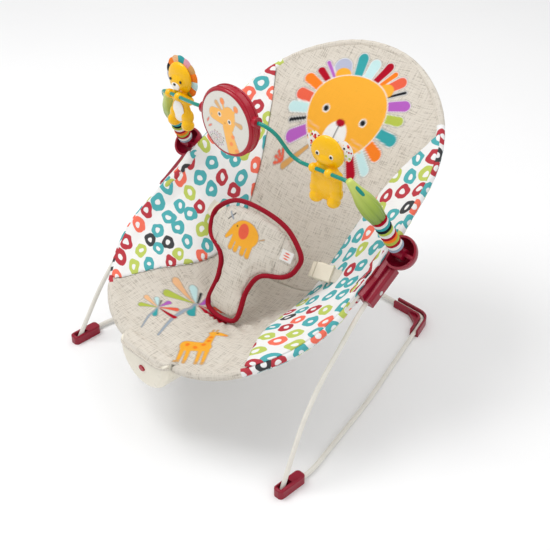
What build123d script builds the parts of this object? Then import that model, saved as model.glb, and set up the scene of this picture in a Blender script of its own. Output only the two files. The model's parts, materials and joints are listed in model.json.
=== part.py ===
"""Baby bouncer seat: wire floor frame, sprung wire legs, hooped fabric seat and a pivoting toy bar.

Millimetres, +Z up, +X to the seat's right hand side, +Y towards the head end.
The origin is on the floor in the middle of the footprint.  Depths named DEPTH or _Y are
measured from the toe line, the line through both front toes, and at() places them.
"""
import os
from math import cos, hypot, pi, radians, sin, tan

from build123d import *

# ---- frame wire ---------------------------------------------------------------------
WIRE_D = 7.0              # steel wire of floor frame, legs and seat hoops
TOE_Y = -206.3            # toe line in the row frame
FRONT_TRACK = 466.0       # between the wires at the toes
SIDE_BULGE = 478.0        # between the rails just behind the front feet
REAR_TRACK = 252.0        # between the rear corners
BASE_DEPTH = 440.0        # toe line to the rear cross wire
REAR_BEND_R = 18.0
FIT = 0.1                 # clearance between a wire and the moulding that grips it
SOFT_GAP = 0.4            # between sewn pieces and what they pass

# ---- feet and rear brackets -----------------------------------------------------------
SOLE = 2.5                # plastic under the wire
FOOT_LENGTH = 50.0
FOOT_WIDTH = 17.0
FOOT_HEIGHT = 15.0
FOOT_NOSE = 11.0          # foot ahead of the toe line
LEG_SLOT_BACK = 15.0      # open slot for the leg, behind the toe line
BRACKET_HEIGHT = 13.0
BRACKET_ARM_SIDE = 46.0
BRACKET_ARM_REAR = 60.0
FLANGE = 3.6              # wall outside the wire channel
GRIP = 1.0                # rubber pad let into each sole

# ---- hubs, seat hoops and legs --------------------------------------------------------
HUB_DEPTH = 205.0         # where the two hoops meet
HUB_HEIGHT = 246.0
HOOP_HALF = 203.0         # half width at the hub
SEAT_SLOPE = 25.9         # degrees, falling to the front
BACK_SLOPE = 37.4         # degrees, rising to the head
SEAT_LENGTH = 262.0       # hub to front wire, along the slope
SEAT_SIDE = 133.0         # straight side before the front corner
SEAT_FRONT_HALF = 107.0
SEAT_BENDS = (194.0, 154.0)
BACK_LENGTH = 316.0
BACK_SHOULDER = (184.0, 238.0)    # half width and distance up the slope
BACK_CROWN_HALF = 48.0
BACK_BENDS = (194.0, 172.0)
HOOP_END_GAP = 6.0        # hub line to each wire end
LUG = 13.0                # square lug around the hoop wires
LUG_REACH = 34.0
HOUSING_DEPTH = (HUB_DEPTH - 24.0, HUB_DEPTH + 27.0)      # lower and upper end of the leg socket
HOUSING_HEIGHT = (HUB_HEIGHT - 25.0, HUB_HEIGHT + 8.0)
HOUSING_SIZE = 20.0
HUB_X = HOOP_HALF + 10.0  # centre of the leg socket
LEG_SPLAY = 10.0
LEG_BEND = (222.0, 60.0, 116.0)   # half width, depth and height of the lower leg bend
LEG_RADII = (300.0, 330.0)

# ---- pivot cup and toy bar --------------------------------------------------------------
CUP_X = HOOP_HALF + 17.0
CUP_DEPTH = HUB_DEPTH + 33.0
CUP_HEIGHT = HUB_HEIGHT + 34.0
CUP_R = 24.5
CUP_WALL = 3.2
CUP_FLOOR_X = HOOP_HALF + WIRE_D / 2 + 1.0     # inner side of the hollow, outboard of the hoop wire
CUP_MOUTH = 135.0         # degrees from +Y, the way the mouth faces
PIN_R = 3.0
PIVOT_PLAY = 0.1
KNUCKLE_R = 8.0
KNUCKLE_WIDTH = 18.0
ARM_LEAN = 118.6          # degrees from +Y at rest
ARM_LENGTH = 140.0        # pivot pin to the rod line
ROD_HALF = CUP_X - 27.0   # half width where the arms turn into the rod
SPIGOT_R = 4.5
SPIGOT_LENGTH = 28.0
ARM_R = 11.5
ARM_START = 11.0
BUD_START = 72.0
BUD_LENGTH = 74.0
BUD_LEAN = 10.0           # degrees inward from the arm
BUD_RADII = (11.5, 14.5, 13.0, 8.0, 4.5)
ROD_D = 5.5
ROD_BEND_R = 24.0
# rod corners from right to left: across, above the rod line, ahead of the arm plane
ROD_CORNERS = ((74.0, -16.0, 0.0), (62.0, 46.0, 0.0), (-84.0, 33.0, 12.0))
ROD_RADII = (20.0, 26.0, 60.0)

# ---- toys ---------------------------------------------------------------------------------
DISC_R = 49.0
DISC_THICK = 20.0
DISC_X = -16.0            # middle of the spinner on its stretch of rod
DISC_DROP = 8.0           # rod above the middle, so that the spinner hangs one way up
FACE_R = 45.0
FACE_THICK = 1.6
BOSS_R = 8.0
BOSS_LENGTH = 5.0
TOY_PLAY = 0.1
TOY_THICK = 16.0
TOY_SET_BACK = 11.0       # toy body behind the rod
TOY_HEAD_R = 24.0
TOY_HEAD_RISE = 24.0
TOY_BODY = (40.0, 56.0)
TOY_HAND_X = 15.0
TOY_HAND_R = 7.0
LION_FROM_END = 41.0      # outer end of the rod's left stretch to the toy
CUB_AT = 0.55             # share of the rod's right stretch
MANE_R = 32.0
EAR_R = 12.0

# ---- fabric -------------------------------------------------------------------------------
CLOTH = 4.0               # padded cloth, measured straight down
HEM_R = WIRE_D / 2 + 2.5  # hem tunnel around the hoop wire
SEAM_HALF = 90.0          # side seam at its narrowest
SEAM_DEPTH = HUB_DEPTH - 5
SEAM_FRONT = (18.0, 144.0)        # depth and half width where the seam meets the front hem
SEAM_BACK = (386.0, 169.0)
SEAM_DROP = 82.0          # deepest point of the side seams under the hoops
SEAM_LOW_DEPTH = HUB_DEPTH + 5
SLING_DROP = 110.0        # deepest point of the middle under the hoops
SLING_LOW_DEPTH = 180.0
SLING_BACK = 400.0        # depth where the middle meets the hoops' plane
SEAT_STATIONS = 9         # cloth sections from the front hem to the middle seam
BACK_STATIONS = 10

# ---- harness ------------------------------------------------------------------------------
PAD_THICK = 10.0
PAD_FOOT = (106.0, 128.0)         # depth and height of the crotch end
PAD_TOP = (190.0, 272.0)
PAD_OUTLINE = ((28, 0), (30, 48), (42, 78), (78, 94), (90, 112), (88, 134), (52, 160), (0, 167))
WEB_WIDTH = 20.0
WEB_THICK = 1.6
BUCKLE = (26.0, 25.0, 9.0)
BUCKLE_FROM = (SEAM_HALF + 3, HUB_DEPTH - 7, HUB_HEIGHT - 37)
STRAP_REACH = 52.0        # strap's end outboard of the side seam
SIDE_RISE = SEAM_DROP / (HOOP_HALF - SEAM_HALF)
BUCKLE_TO = (SEAM_HALF + STRAP_REACH, HUB_DEPTH + 6, HUB_HEIGHT - SEAM_DROP + 9.26 + STRAP_REACH * SIDE_RISE)
TAB = (9.0, 3.6, 4.4)
TAB_TRAVEL = 1.5
STRAP_START = 34.0        # webbing begins inside the socket's far end

# ---- vibration unit -------------------------------------------------------------------------
UNIT_R = 50.0             # half round lower outline
UNIT_LOW = 2.6            # its centre under the hoop wire
UNIT_RISE = 12.0          # front shell above that centre
UNIT_FRONT = 16.5         # front shell ahead of the hoop wire
UNIT_REAR = 24.0          # rear shell behind it
UNIT_REAR_DROP = 7.0      # rear shell's top under that centre
UNIT_WALL = 2.2
UNIT_ROUND = 9.0
RIB = 7.0
BUTTON = (12.0, 9.0)
BUTTON_DROP = 17.0        # button under the unit's centre
BUTTON_TRAVEL = 1.5
BUTTON_PROUD = 2.2
BUTTON_PLAY = 0.15
CELL_D = 26.0
CELL_LENGTH = 49.0
CELL_DROP = 27.0          # cell under the unit's centre
CELL_BACK = 7.0           # cell behind the hoop wire
DOOR = (52.0, 24.0)
MOTOR_R = 7.0
MOTOR_LENGTH = 15.0
MOTOR_X = 36.0
MOTOR_DROP = 18.0
SHAFT_R = 1.0
WEIGHT_R = 6.5
WEIGHT_THICK = 5.0
SCREW_HEAD_R = 3.2

WIRE_R = WIRE_D / 2
WIRE_Z = SOLE + WIRE_R
ROD_R = ROD_D / 2
HEM_REACH = HEM_R + 0.2
ARM_DIR = (cos(radians(ARM_LEAN)), sin(radians(ARM_LEAN)))
WIRE_FRONT_Y = HUB_DEPTH - SEAT_LENGTH * cos(radians(SEAT_SLOPE))
UNIT_CENTRE = HUB_HEIGHT - SEAT_LENGTH * sin(radians(SEAT_SLOPE)) - UNIT_LOW
UNIT_TOP = UNIT_CENTRE + UNIT_RISE
UNIT_REAR_TOP = UNIT_CENTRE - UNIT_REAR_DROP
BUTTON_HEIGHT = UNIT_CENTRE - BUTTON_DROP
CELL_HEIGHT = UNIT_CENTRE - CELL_DROP
MOTOR_HEIGHT = UNIT_CENTRE - MOTOR_DROP
PARTS = {}


def keep(name, shape):
    """Put a finished piece on the list of nodes."""
    PARTS[name] = shape


def at(x, y, z):
    """A point from its depth behind the toe line."""
    return Vector(x, TOE_Y + y, z)


def tube(path, radius):
    """A round bar along a path."""
    start = Plane(origin=path @ 0, z_dir=path % 0)
    return sweep(start * Circle(radius), path=path)


def both(name, make):
    """Make a piece on the right, mirror it to the left."""
    right = make()
    keep("right_" + name, right)
    keep("left_" + name, mirror(right, Plane.YZ))


def cylinder_between(a, b, radius):
    """A round bar from point a to point b."""
    return Solid.extrude(Plane(origin=a, z_dir=b - a) * Circle(radius).face(), b - a)


# ---- floor frame ------------------------------------------------------------------------------
def rail_points():
    """Right half of the floor wire, from inside the foot to the rear corner."""
    return [
        at(FRONT_TRACK / 2, LEG_SLOT_BACK + 1, WIRE_Z),
        at(SIDE_BULGE / 2, 46, WIRE_Z),
        at((SIDE_BULGE + REAR_TRACK) / 4 + 14, BASE_DEPTH / 2, WIRE_Z),
        at(REAR_TRACK / 2, BASE_DEPTH, WIRE_Z),
    ]


def mirrored(point):
    return Vector(-point.X, point.Y, point.Z)


def floor_wire():
    right = rail_points()
    left = [mirrored(p) for p in reversed(right)]
    bends = [120, 900, REAR_BEND_R, REAR_BEND_R, 900, 120]
    return tube(FilletPolyline(*right, *left, radius=bends), WIRE_R)


def front_foot():
    """Foot with a bore for the rail and an open slot where the leg flexes."""
    x = FRONT_TRACK / 2
    block = Box(FOOT_WIDTH, FOOT_LENGTH, FOOT_HEIGHT, align=(Align.CENTER, Align.MIN, Align.MIN))
    block = Pos(*at(x + 1, -FOOT_NOSE, 0)) * block
    block = fillet(block.edges().filter_by(Axis.Z), 6)
    block = fillet(block.edges().group_by(Axis.Z)[-1], 2.5)
    slot_half = WIRE_R + 1.2
    slot = Box(2 * slot_half, LEG_SLOT_BACK + 6.5, FOOT_HEIGHT, align=(Align.CENTER, Align.MIN, Align.MIN))
    block -= Pos(*at(x, -6.5, SOLE - 0.3)) * slot
    rail = FilletPolyline(*rail_points(), radius=[120, 900])
    return block - tube(rail, WIRE_R) - Pos(*at(x + 1, FOOT_LENGTH / 2 - FOOT_NOSE, 0)) * grip_pad()


def grip_pad():
    return Box(9, FOOT_LENGTH - 16, GRIP, align=(Align.CENTER, Align.CENTER, Align.MIN))


def corner_arms():
    """The stretch of floor wire that a rear bracket holds."""
    corner = at(REAR_TRACK / 2, BASE_DEPTH, 0)
    rail = (rail_points()[-2] - rail_points()[-1])
    side = Vector(rail.X, rail.Y, 0).normalized()
    return corner + side * BRACKET_ARM_SIDE, corner, corner - Vector(BRACKET_ARM_REAR, 0, 0)


def rear_bracket():
    """Corner bracket: channel for the wire, outer flange and a gusset with a hollowed edge."""
    side, corner, rear = corner_arms()
    bend = FilletPolyline(side, corner, rear, radius=REAR_BEND_R)
    band = trace(bend, line_width=WIRE_D + 2 * FLANGE)
    middle = (side + rear) * 0.5
    hollow = middle + (corner - middle) * 0.36
    edge = ThreePointArc(rear, hollow, side)
    gusset = make_face(Wire([Edge.make_line(side, corner), Edge.make_line(corner, rear), edge.edge()]))
    body = extrude(band, BRACKET_HEIGHT) + extrude(gusset & make_hull(bend.edges()), BRACKET_HEIGHT - 4)
    channel = Pos(0, 0, WIRE_Z) * extrude(trace(bend, line_width=WIRE_D), BRACKET_HEIGHT)
    return body - channel - tube(bend.moved(Location((0, 0, WIRE_Z))), WIRE_R)


def floor_frame():
    keep("floor_frame_wire", floor_wire())
    both("front_foot", front_foot)
    middle = at(FRONT_TRACK / 2 + 1, FOOT_LENGTH / 2 - FOOT_NOSE, 0)
    both("front_grip", lambda: Pos(*middle) * grip_pad())
    both("rear_bracket", rear_bracket)


# ---- seat hoops, hubs and legs ------------------------------------------------------------------
def hoop_point(half, along):
    """A point of the hoops: along is positive up the back and negative down the seat."""
    slope = radians(BACK_SLOPE if along > 0 else SEAT_SLOPE)
    return at(half, HUB_DEPTH + along * cos(slope), HUB_HEIGHT + along * sin(slope))


def seat_half():
    """Right half of the seat hoop's centre line, hub to front middle."""
    points = [(HOOP_HALF, -HOOP_END_GAP), (HOOP_HALF, -SEAT_SIDE), (SEAT_FRONT_HALF, -SEAT_LENGTH), (0, -SEAT_LENGTH)]
    return [hoop_point(*p) for p in points]


def back_half():
    """Right half of the back hoop's centre line, hub to crown."""
    points = [(HOOP_HALF, HOOP_END_GAP), BACK_SHOULDER, (BACK_CROWN_HALF, BACK_LENGTH), (0, BACK_LENGTH)]
    return [hoop_point(*p) for p in points]


def hoop_path(half, bends):
    right = half[:-1]
    left = [mirrored(p) for p in reversed(right)]
    return FilletPolyline(*right, *left, radius=[*bends, *reversed(bends)])


def hoop_line(half, bends):
    """Right half with its bends, up to the middle plane."""
    return FilletPolyline(*half, radius=list(bends))


def leg_points():
    """Leg wire from inside the hub down to the toe."""
    low = Vector(*at(HUB_X, HOUSING_DEPTH[0], HOUSING_HEIGHT[0]))
    high = Vector(*at(HUB_X, HOUSING_DEPTH[1], HOUSING_HEIGHT[1]))
    run = (high - low).normalized()
    return [low + run * 40, low - run * LEG_SPLAY, at(*LEG_BEND), at(FRONT_TRACK / 2, 0, WIRE_Z)]


def leg_wire():
    path = FilletPolyline(*leg_points(), radius=list(LEG_RADII))
    return tube(path, WIRE_R) + Pos(*(path @ 1)) * Sphere(WIRE_R)


def housing(grow=0.0):
    """Square rounded socket that the leg wire plugs into."""
    low = at(HUB_X, HOUSING_DEPTH[0], HOUSING_HEIGHT[0])
    high = at(HUB_X, HOUSING_DEPTH[1], HOUSING_HEIGHT[1])
    plane = Plane(origin=low, x_dir=(1, 0, 0), z_dir=high - low)
    side = HOUSING_SIZE + 2 * grow
    section = plane * RectangleRounded(side, side, 5 + grow)
    return extrude(section, (high - low).length)


def lug(grow=0.0):
    """Inner lug with the sockets of both hoop wires."""
    half = LUG / 2 + grow
    reach = LUG_REACH + grow
    ends = [hoop_point(HOOP_HALF, -reach), hoop_point(HOOP_HALF, 0.001), hoop_point(HOOP_HALF, reach)]
    normals = [radians(SEAT_SLOPE), radians((SEAT_SLOPE + BACK_SLOPE) / 2), radians(BACK_SLOPE)]
    upper = [p + Vector(0, -sin(a), cos(a)) * half for p, a in zip(ends, normals)]
    lower = [p - Vector(0, -sin(a), cos(a)) * half for p, a in zip(ends, normals)]
    face = make_face(Polyline(*upper, *reversed(lower), close=True))
    inner = extrude(face, half + 3, dir=(-1, 0, 0))
    return inner + extrude(face, HUB_X - HOOP_HALF + grow, dir=(1, 0, 0))


def cup_centre():
    return at(CUP_X, CUP_DEPTH, CUP_HEIGHT)


def cup():
    """Half ball with its mouth towards the toy bar, and the pivot pin across it."""
    ball = Pos(*cup_centre()) * Sphere(CUP_R)
    mouth = radians(CUP_MOUTH)
    facing = Vector(0, cos(mouth), sin(mouth))
    cutter = Plane(origin=cup_centre() + facing * 2, z_dir=facing)
    return ball - extrude(cutter * Rectangle(80, 80), 40)


def hollow():
    """Inside of the cup, with a flat floor that keeps the hoop wire covered."""
    ball = Pos(*cup_centre()) * Sphere(CUP_R - CUP_WALL)
    floor = Box(60, 90, 90, align=(Align.MIN, Align.CENTER, Align.CENTER))
    return ball & (Pos(CUP_FLOOR_X, TOE_Y + CUP_DEPTH, CUP_HEIGHT) * floor)


def pin():
    reach = CUP_R - CUP_WALL / 2
    a = cup_centre() - Vector(reach, 0, 0)
    return cylinder_between(a, a + Vector(2 * reach, 0, 0), PIN_R)


def hub():
    body = housing() + lug() + cup() - hollow() + (pin() & (Pos(*cup_centre()) * Sphere(CUP_R)))
    seat = hoop_line(seat_half(), SEAT_BENDS)
    back = hoop_line(back_half(), BACK_BENDS)
    leg = FilletPolyline(*leg_points(), radius=list(LEG_RADII))
    return body - tube(seat, WIRE_R) - tube(back, WIRE_R) - tube(leg, WIRE_R)


def hub_screws():
    """One screw through each leg socket, clamping the leg wire from outside."""
    low = at(HUB_X, HOUSING_DEPTH[0], HOUSING_HEIGHT[0])
    high = at(HUB_X, HOUSING_DEPTH[1], HOUSING_HEIGHT[1])
    middle = low + (high - low) * 0.36
    outside = middle + Vector(HOUSING_SIZE / 2 - 1.5, 0, 0)
    return cylinder_between(outside, outside + Vector(1.9, 0, 0), SCREW_HEAD_R)


def seat_frame():
    keep("seat_hoop_wire", tube(hoop_path(seat_half(), SEAT_BENDS), WIRE_R))
    keep("back_hoop_wire", tube(hoop_path(back_half(), BACK_BENDS), WIRE_R))
    both("leg_wire", leg_wire)
    screw = hub_screws()
    right = hub() - screw
    keep("right_hub", right)
    keep("left_hub", mirror(right, Plane.YZ))
    keep("hub_screws", Compound([screw, mirror(screw, Plane.YZ)]))


# ---- fabric ---------------------------------------------------------------------------------------
def hub_room():
    """Space that the fabric leaves around both hubs."""
    ball = Pos(*cup_centre()) * Sphere(CUP_R + 5)
    right = housing(SOFT_GAP) + lug(SOFT_GAP) + ball
    return right + mirror(right, Plane.YZ)


def plane_height(depth):
    """Height of the hoops' plane at a depth."""
    slope = BACK_SLOPE if depth > HUB_DEPTH else SEAT_SLOPE
    return HUB_HEIGHT + (depth - HUB_DEPTH) * tan(radians(slope))


def swell(depth, low, ends):
    """Share of the drop: 1 at the lowest depth, falling to 0 at both ends."""
    end = ends[1] if depth > low else ends[0]
    part = min(1, (depth - low) / (end - low))
    return cos(part * pi / 2) ** 2


def seam_half(depth):
    end, half = SEAM_BACK if depth > SEAM_DEPTH else SEAM_FRONT
    return SEAM_HALF + (half - SEAM_HALF) * ((depth - SEAM_DEPTH) / (end - SEAM_DEPTH)) ** 2


def seam_height(depth):
    return plane_height(depth) - SEAM_DROP * swell(depth, SEAM_LOW_DEPTH, (SEAM_FRONT[0], SEAM_BACK[0]))


def middle_height(depth):
    return plane_height(depth) - SLING_DROP * swell(depth, SLING_LOW_DEPTH, (WIRE_FRONT_Y, SLING_BACK))


def hoop_half(depth):
    """Half width between the hoop wires at a depth, found on the wire's own line."""
    half, bends = (back_half(), BACK_BENDS) if depth > HUB_DEPTH else (seat_half(), SEAT_BENDS)
    line = hoop_line(half, bends)
    near, far = 0.0, 1.0
    for _ in range(22):
        middle = (near + far) / 2
        reached = abs((line @ middle).Y - TOE_Y - HUB_DEPTH)
        near, far = (middle, far) if reached < abs(depth - HUB_DEPTH) else (near, middle)
    return (line @ near).X


def cloth_edge(depth):
    """Half width of the middle panels and the height of their edge."""
    hem = hoop_half(depth) - HEM_REACH
    if SEAM_FRONT[0] < depth < SEAM_BACK[0] and seam_half(depth) < hem:
        return seam_half(depth), seam_height(depth)
    return hem, plane_height(depth)


def cloth_section(points, depth):
    """Closed strip of cloth at one depth, hanging CLOTH below its upper line."""
    upper = [at(x, depth, z) for x, z in points]
    lower = [p - Vector(0, 0, CLOTH) for p in reversed(upper)]
    return Wire.make_polygon([*upper, *lower], close=True)


def middle_panel(depths):
    sections = []
    for depth in depths:
        half, edge = cloth_edge(depth)
        low = middle_height(depth)
        steps = (-1, -0.5, 0, 0.5, 1)
        sections.append(cloth_section([(half * k, low + (edge - low) * k * k) for k in steps], depth))
    return Solid.make_loft(sections, ruled=True)


def side_panel(depths):
    sections = []
    for depth in depths:
        outer = hoop_half(depth) - HEM_REACH
        points = [(seam_half(depth), seam_height(depth)), (outer, plane_height(depth))]
        sections.append(cloth_section(points, depth))
    return Solid.make_loft(sections, ruled=True)


def stations():
    """Depths of the cloth sections, shared by all panels: seat part, then back part."""
    front = WIRE_FRONT_Y + HEM_REACH
    back = HUB_DEPTH + BACK_LENGTH * cos(radians(BACK_SLOPE)) - HEM_REACH
    seat = [front + (HUB_DEPTH - front) * i / (SEAT_STATIONS - 1) for i in range(SEAT_STATIONS)]
    rear = [HUB_DEPTH + (back - HUB_DEPTH) * i / (BACK_STATIONS - 1) for i in range(BACK_STATIONS)]
    return seat, rear


def side_stations():
    """Sections that have a side panel: the seam is inside the hem there."""
    seat, rear = stations()
    inside = [d for d in seat + rear[1:] if SEAM_FRONT[0] < d < SEAM_BACK[0]]
    return [d for d in inside if seam_half(d) < hoop_half(d) - HEM_REACH - 1]


def hem_room():
    """Space of both hem tunnels."""
    seat = tube(hoop_path(seat_half(), SEAT_BENDS), HEM_REACH)
    return seat + tube(hoop_path(back_half(), BACK_BENDS), HEM_REACH)


def hem(half, bends):
    path = hoop_path(half, bends)
    start = Plane(origin=path @ 0, z_dir=path % 0)
    ring = start * Circle(HEM_R) - start * Circle(WIRE_R)
    return sweep(ring, path=path)


def unit_room():
    """Notch in the front hem for the vibration unit."""
    notch = Box(2 * (UNIT_R + 2), UNIT_FRONT + RIB + 1, 60, align=(Align.CENTER, Align.MIN, Align.CENTER))
    return Pos(*at(0, WIRE_FRONT_Y - UNIT_FRONT, UNIT_CENTRE)) * notch


def fabric():
    room = hub_room()
    notch = unit_room()
    hems = hem_room()
    seat, rear = stations()
    keep("seat_panel", middle_panel(seat) - notch - hems)
    keep("back_panel", middle_panel(rear) - hems)
    right = side_panel(side_stations()) - room - hems
    keep("right_side_panel", right)
    keep("left_side_panel", mirror(right, Plane.YZ))
    keep("seat_hem", hem(seat_half(), SEAT_BENDS) - room - notch)
    keep("back_hem", hem(back_half(), BACK_BENDS) - room)


# ---- harness ----------------------------------------------------------------------------------------
def waist_pad():
    foot = at(0, *PAD_FOOT)
    top = at(0, *PAD_TOP)
    plane = Plane(origin=foot, x_dir=(1, 0, 0), z_dir=Vector(1, 0, 0).cross(top - foot))
    right = [(x, y) for x, y in PAD_OUTLINE]
    left = [(-x, y) for x, y in reversed(right[:-1])]
    outline = make_face(Polyline(*right, *left, close=True))
    outline = fillet(outline.vertices().sort_by(Axis.Y)[2:-1], 7)
    return extrude(plane * outline, PAD_THICK / 2, both=True)


def strap_plane():
    """Frame of the right waist strap: x along the strap, y across it, z off its face."""
    start = at(*BUCKLE_FROM)
    run = at(*BUCKLE_TO) - start
    return Plane(origin=start, x_dir=run, z_dir=run.cross(Vector(0, 1, 0.9)))


def buckle_socket():
    length, width, height = BUCKLE
    shell = Box(length, width, height, align=(Align.MIN, Align.CENTER, Align.CENTER))
    shell = fillet(shell.edges().filter_by(Axis.X), 2)
    shell -= Box(length - 4, width - 5, height - 3.6, align=(Align.MIN, Align.CENTER, Align.CENTER))
    windows = Box(TAB[0] + 3, width + 2, TAB[2] + 0.8)
    return strap_plane().location * (Pos(8, 0, 0) * (shell - Pos(9, 0, 0) * windows))


def buckle_plug():
    bar = Box(7, BUCKLE[1] - 2, BUCKLE[2] - 2, align=(Align.MIN, Align.CENTER, Align.CENTER))
    prong = Box(22, 6, 3, align=(Align.MIN, Align.CENTER, Align.CENTER))
    plug = fillet(bar.edges().filter_by(Axis.Y), 1.5) + Pos(5, 0, 0) * prong
    return strap_plane().location * plug


def release_tab():
    length, width, height = TAB
    tab = Box(length, width, height, align=(Align.CENTER, Align.MAX, Align.CENTER))
    return strap_plane().location * (Pos(17, BUCKLE[1] / 2 + 1, 0) * tab)


def webbing():
    length = hypot(*(b - a for a, b in zip(BUCKLE_FROM, BUCKLE_TO)))
    strap = Box(length - STRAP_START - 4, WEB_WIDTH, WEB_THICK, align=(Align.MIN, Align.CENTER, Align.CENTER))
    return strap_plane().location * (Pos(STRAP_START, 0, 0) * strap)


def harness():
    keep("waist_pad", waist_pad())
    both("buckle_socket", buckle_socket)
    both("buckle_plug", buckle_plug)
    both("waist_webbing", webbing)
    upper = release_tab()
    lower = strap_plane().location * (Rot(180, 0, 0) * (strap_plane().location.inverse() * upper))
    keep("right_rear_release_tab", upper)
    keep("left_rear_release_tab", mirror(upper, Plane.YZ))
    keep("right_front_release_tab", lower)
    keep("left_front_release_tab", mirror(lower, Plane.YZ))


# ---- vibration unit -------------------------------------------------------------------------------------
def unit_face(top, inset=0.0):
    """Outline seen from the front: flat top, half round below."""
    radius = UNIT_R - inset
    disc = Circle(radius)
    lift = top - inset - UNIT_CENTRE
    upper = Pos(0, lift - 100) * Rectangle(2 * radius, 200)
    column = Pos(0, 100) * Rectangle(2 * radius, 200)
    return (disc + column) & upper


def unit_plane(depth):
    return Plane(origin=at(0, depth, UNIT_CENTRE), x_dir=(1, 0, 0), z_dir=(0, -1, 0))


def hoop_groove():
    return tube(hoop_path(seat_half(), SEAT_BENDS), WIRE_R)


def front_shell():
    plane = unit_plane(WIRE_FRONT_Y)
    shell = extrude(plane * unit_face(UNIT_TOP), UNIT_FRONT)
    shell = fillet(shell.edges().group_by(Axis.Y)[0], UNIT_ROUND)
    inside = extrude(plane * unit_face(UNIT_TOP, UNIT_WALL), UNIT_FRONT - UNIT_WALL)
    shell -= fillet(inside.edges().group_by(Axis.Y)[0], UNIT_ROUND - UNIT_WALL)
    hole = unit_plane(WIRE_FRONT_Y - UNIT_FRONT + UNIT_WALL + 1)
    hole = hole * (Pos(0, BUTTON_HEIGHT - UNIT_CENTRE) * Ellipse(BUTTON[0] / 2, BUTTON[1] / 2))
    return shell - extrude(hole, 10) - hoop_groove()


def rear_shell():
    plane = unit_plane(WIRE_FRONT_Y + UNIT_REAR)
    shell = extrude(plane * unit_face(UNIT_REAR_TOP), UNIT_REAR)
    shell = fillet(shell.edges().group_by(Axis.Y)[-1], UNIT_ROUND / 2)
    inner = unit_plane(WIRE_FRONT_Y + UNIT_REAR - UNIT_WALL)
    inside = extrude(inner * unit_face(UNIT_REAR_TOP, UNIT_WALL), UNIT_REAR)
    shell -= fillet(inside.edges().group_by(Axis.Y)[-1], UNIT_ROUND / 2 - UNIT_WALL)
    height = UNIT_TOP - UNIT_WALL - UNIT_REAR_TOP + 1.5
    rib = Box(2 * UNIT_R - 8, RIB, height, align=(Align.CENTER, Align.MIN, Align.MIN))
    shell += Pos(*at(0, WIRE_FRONT_Y, UNIT_REAR_TOP - 1.7)) * rib
    door = Box(DOOR[0] + 0.4, 20, DOOR[1] + 0.4)
    shell -= Pos(*at(0, WIRE_FRONT_Y + UNIT_REAR, CELL_HEIGHT)) * door
    return shell - hoop_groove()


def battery_door():
    door = Box(DOOR[0], UNIT_WALL, DOOR[1], align=(Align.CENTER, Align.MAX, Align.CENTER))
    door = fillet(door.edges().filter_by(Axis.Y), 3)
    return Pos(*at(0, WIRE_FRONT_Y + UNIT_REAR, CELL_HEIGHT)) * door


def door_screw():
    face = at(DOOR[0] / 2 - 5, WIRE_FRONT_Y + UNIT_REAR + 1, CELL_HEIGHT + DOOR[1] / 2 - 5)
    return cylinder_between(face, face - Vector(0, 2.6, 0), SCREW_HEAD_R)


def push_button():
    front = WIRE_FRONT_Y - UNIT_FRONT
    plane = unit_plane(front + UNIT_WALL + 2.0)
    place = Pos(0, BUTTON_HEIGHT - UNIT_CENTRE)
    cap = plane * (place * Ellipse(BUTTON[0] / 2 - BUTTON_PLAY, BUTTON[1] / 2 - BUTTON_PLAY))
    cap = extrude(cap, UNIT_WALL + 2.0 + BUTTON_PROUD)
    cap = fillet(cap.edges().group_by(Axis.Y)[0], 0.8)
    flange = extrude(plane * (place * Ellipse(BUTTON[0] / 2 + 1, BUTTON[1] / 2 + 1)), 1.2)
    return cap + flange


def switch_board():
    front = WIRE_FRONT_Y - UNIT_FRONT + UNIT_WALL + 2.0 + BUTTON_TRAVEL + 0.4
    board = Box(40, 1.2, 16, align=(Align.CENTER, Align.MIN, Align.CENTER))
    return Pos(*at(0, front, BUTTON_HEIGHT + 2)) * board


def battery():
    depth = WIRE_FRONT_Y + CELL_BACK
    start = at(-CELL_LENGTH / 2, depth, CELL_HEIGHT)
    nub = at(CELL_LENGTH / 2, depth, CELL_HEIGHT)
    cell = cylinder_between(start, nub, CELL_D / 2)
    return cell + cylinder_between(nub, nub + Vector(1.2, 0, 0), 3)


def battery_contacts():
    depth = WIRE_FRONT_Y + CELL_BACK
    plus = Box(0.5, 14, 12, align=(Align.MIN, Align.CENTER, Align.CENTER))
    minus = Box(0.5, 14, 12, align=(Align.MAX, Align.CENTER, Align.CENTER))
    plus = Pos(*at(CELL_LENGTH / 2 + 1.2, depth, CELL_HEIGHT)) * plus
    minus = Pos(*at(-CELL_LENGTH / 2, depth, CELL_HEIGHT)) * minus
    return Compound([plus, minus])


def motor():
    start = at(MOTOR_X, WIRE_FRONT_Y - 2, MOTOR_HEIGHT)
    can = cylinder_between(start, start + Vector(0, MOTOR_LENGTH, 0), MOTOR_R)
    return can + cylinder_between(start, start - Vector(0, WEIGHT_THICK + 2, 0), SHAFT_R)


def eccentric_weight():
    start = at(MOTOR_X, WIRE_FRONT_Y - 3.5, MOTOR_HEIGHT)
    plane = Plane(origin=start, x_dir=(1, 0, 0), z_dir=(0, -1, 0))
    lobe = Circle(WEIGHT_R) & (Pos(0, -WEIGHT_R / 2 + 1) * Rectangle(2 * WEIGHT_R, WEIGHT_R))
    lobe = lobe + Circle(2.6) - Circle(SHAFT_R + 0.05)
    return extrude(plane * lobe, WEIGHT_THICK)


def vibration_unit():
    keep("vibration_front_shell", front_shell())
    keep("vibration_rear_shell", rear_shell())
    screw = door_screw()
    keep("battery_door", battery_door() - screw)
    keep("battery_door_screw", screw)
    keep("vibration_button", push_button())
    keep("switch_board", switch_board())
    keep("battery_cell", battery())
    keep("battery_contacts", battery_contacts())
    keep("vibration_motor", motor())
    keep("eccentric_weight", eccentric_weight())


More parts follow.
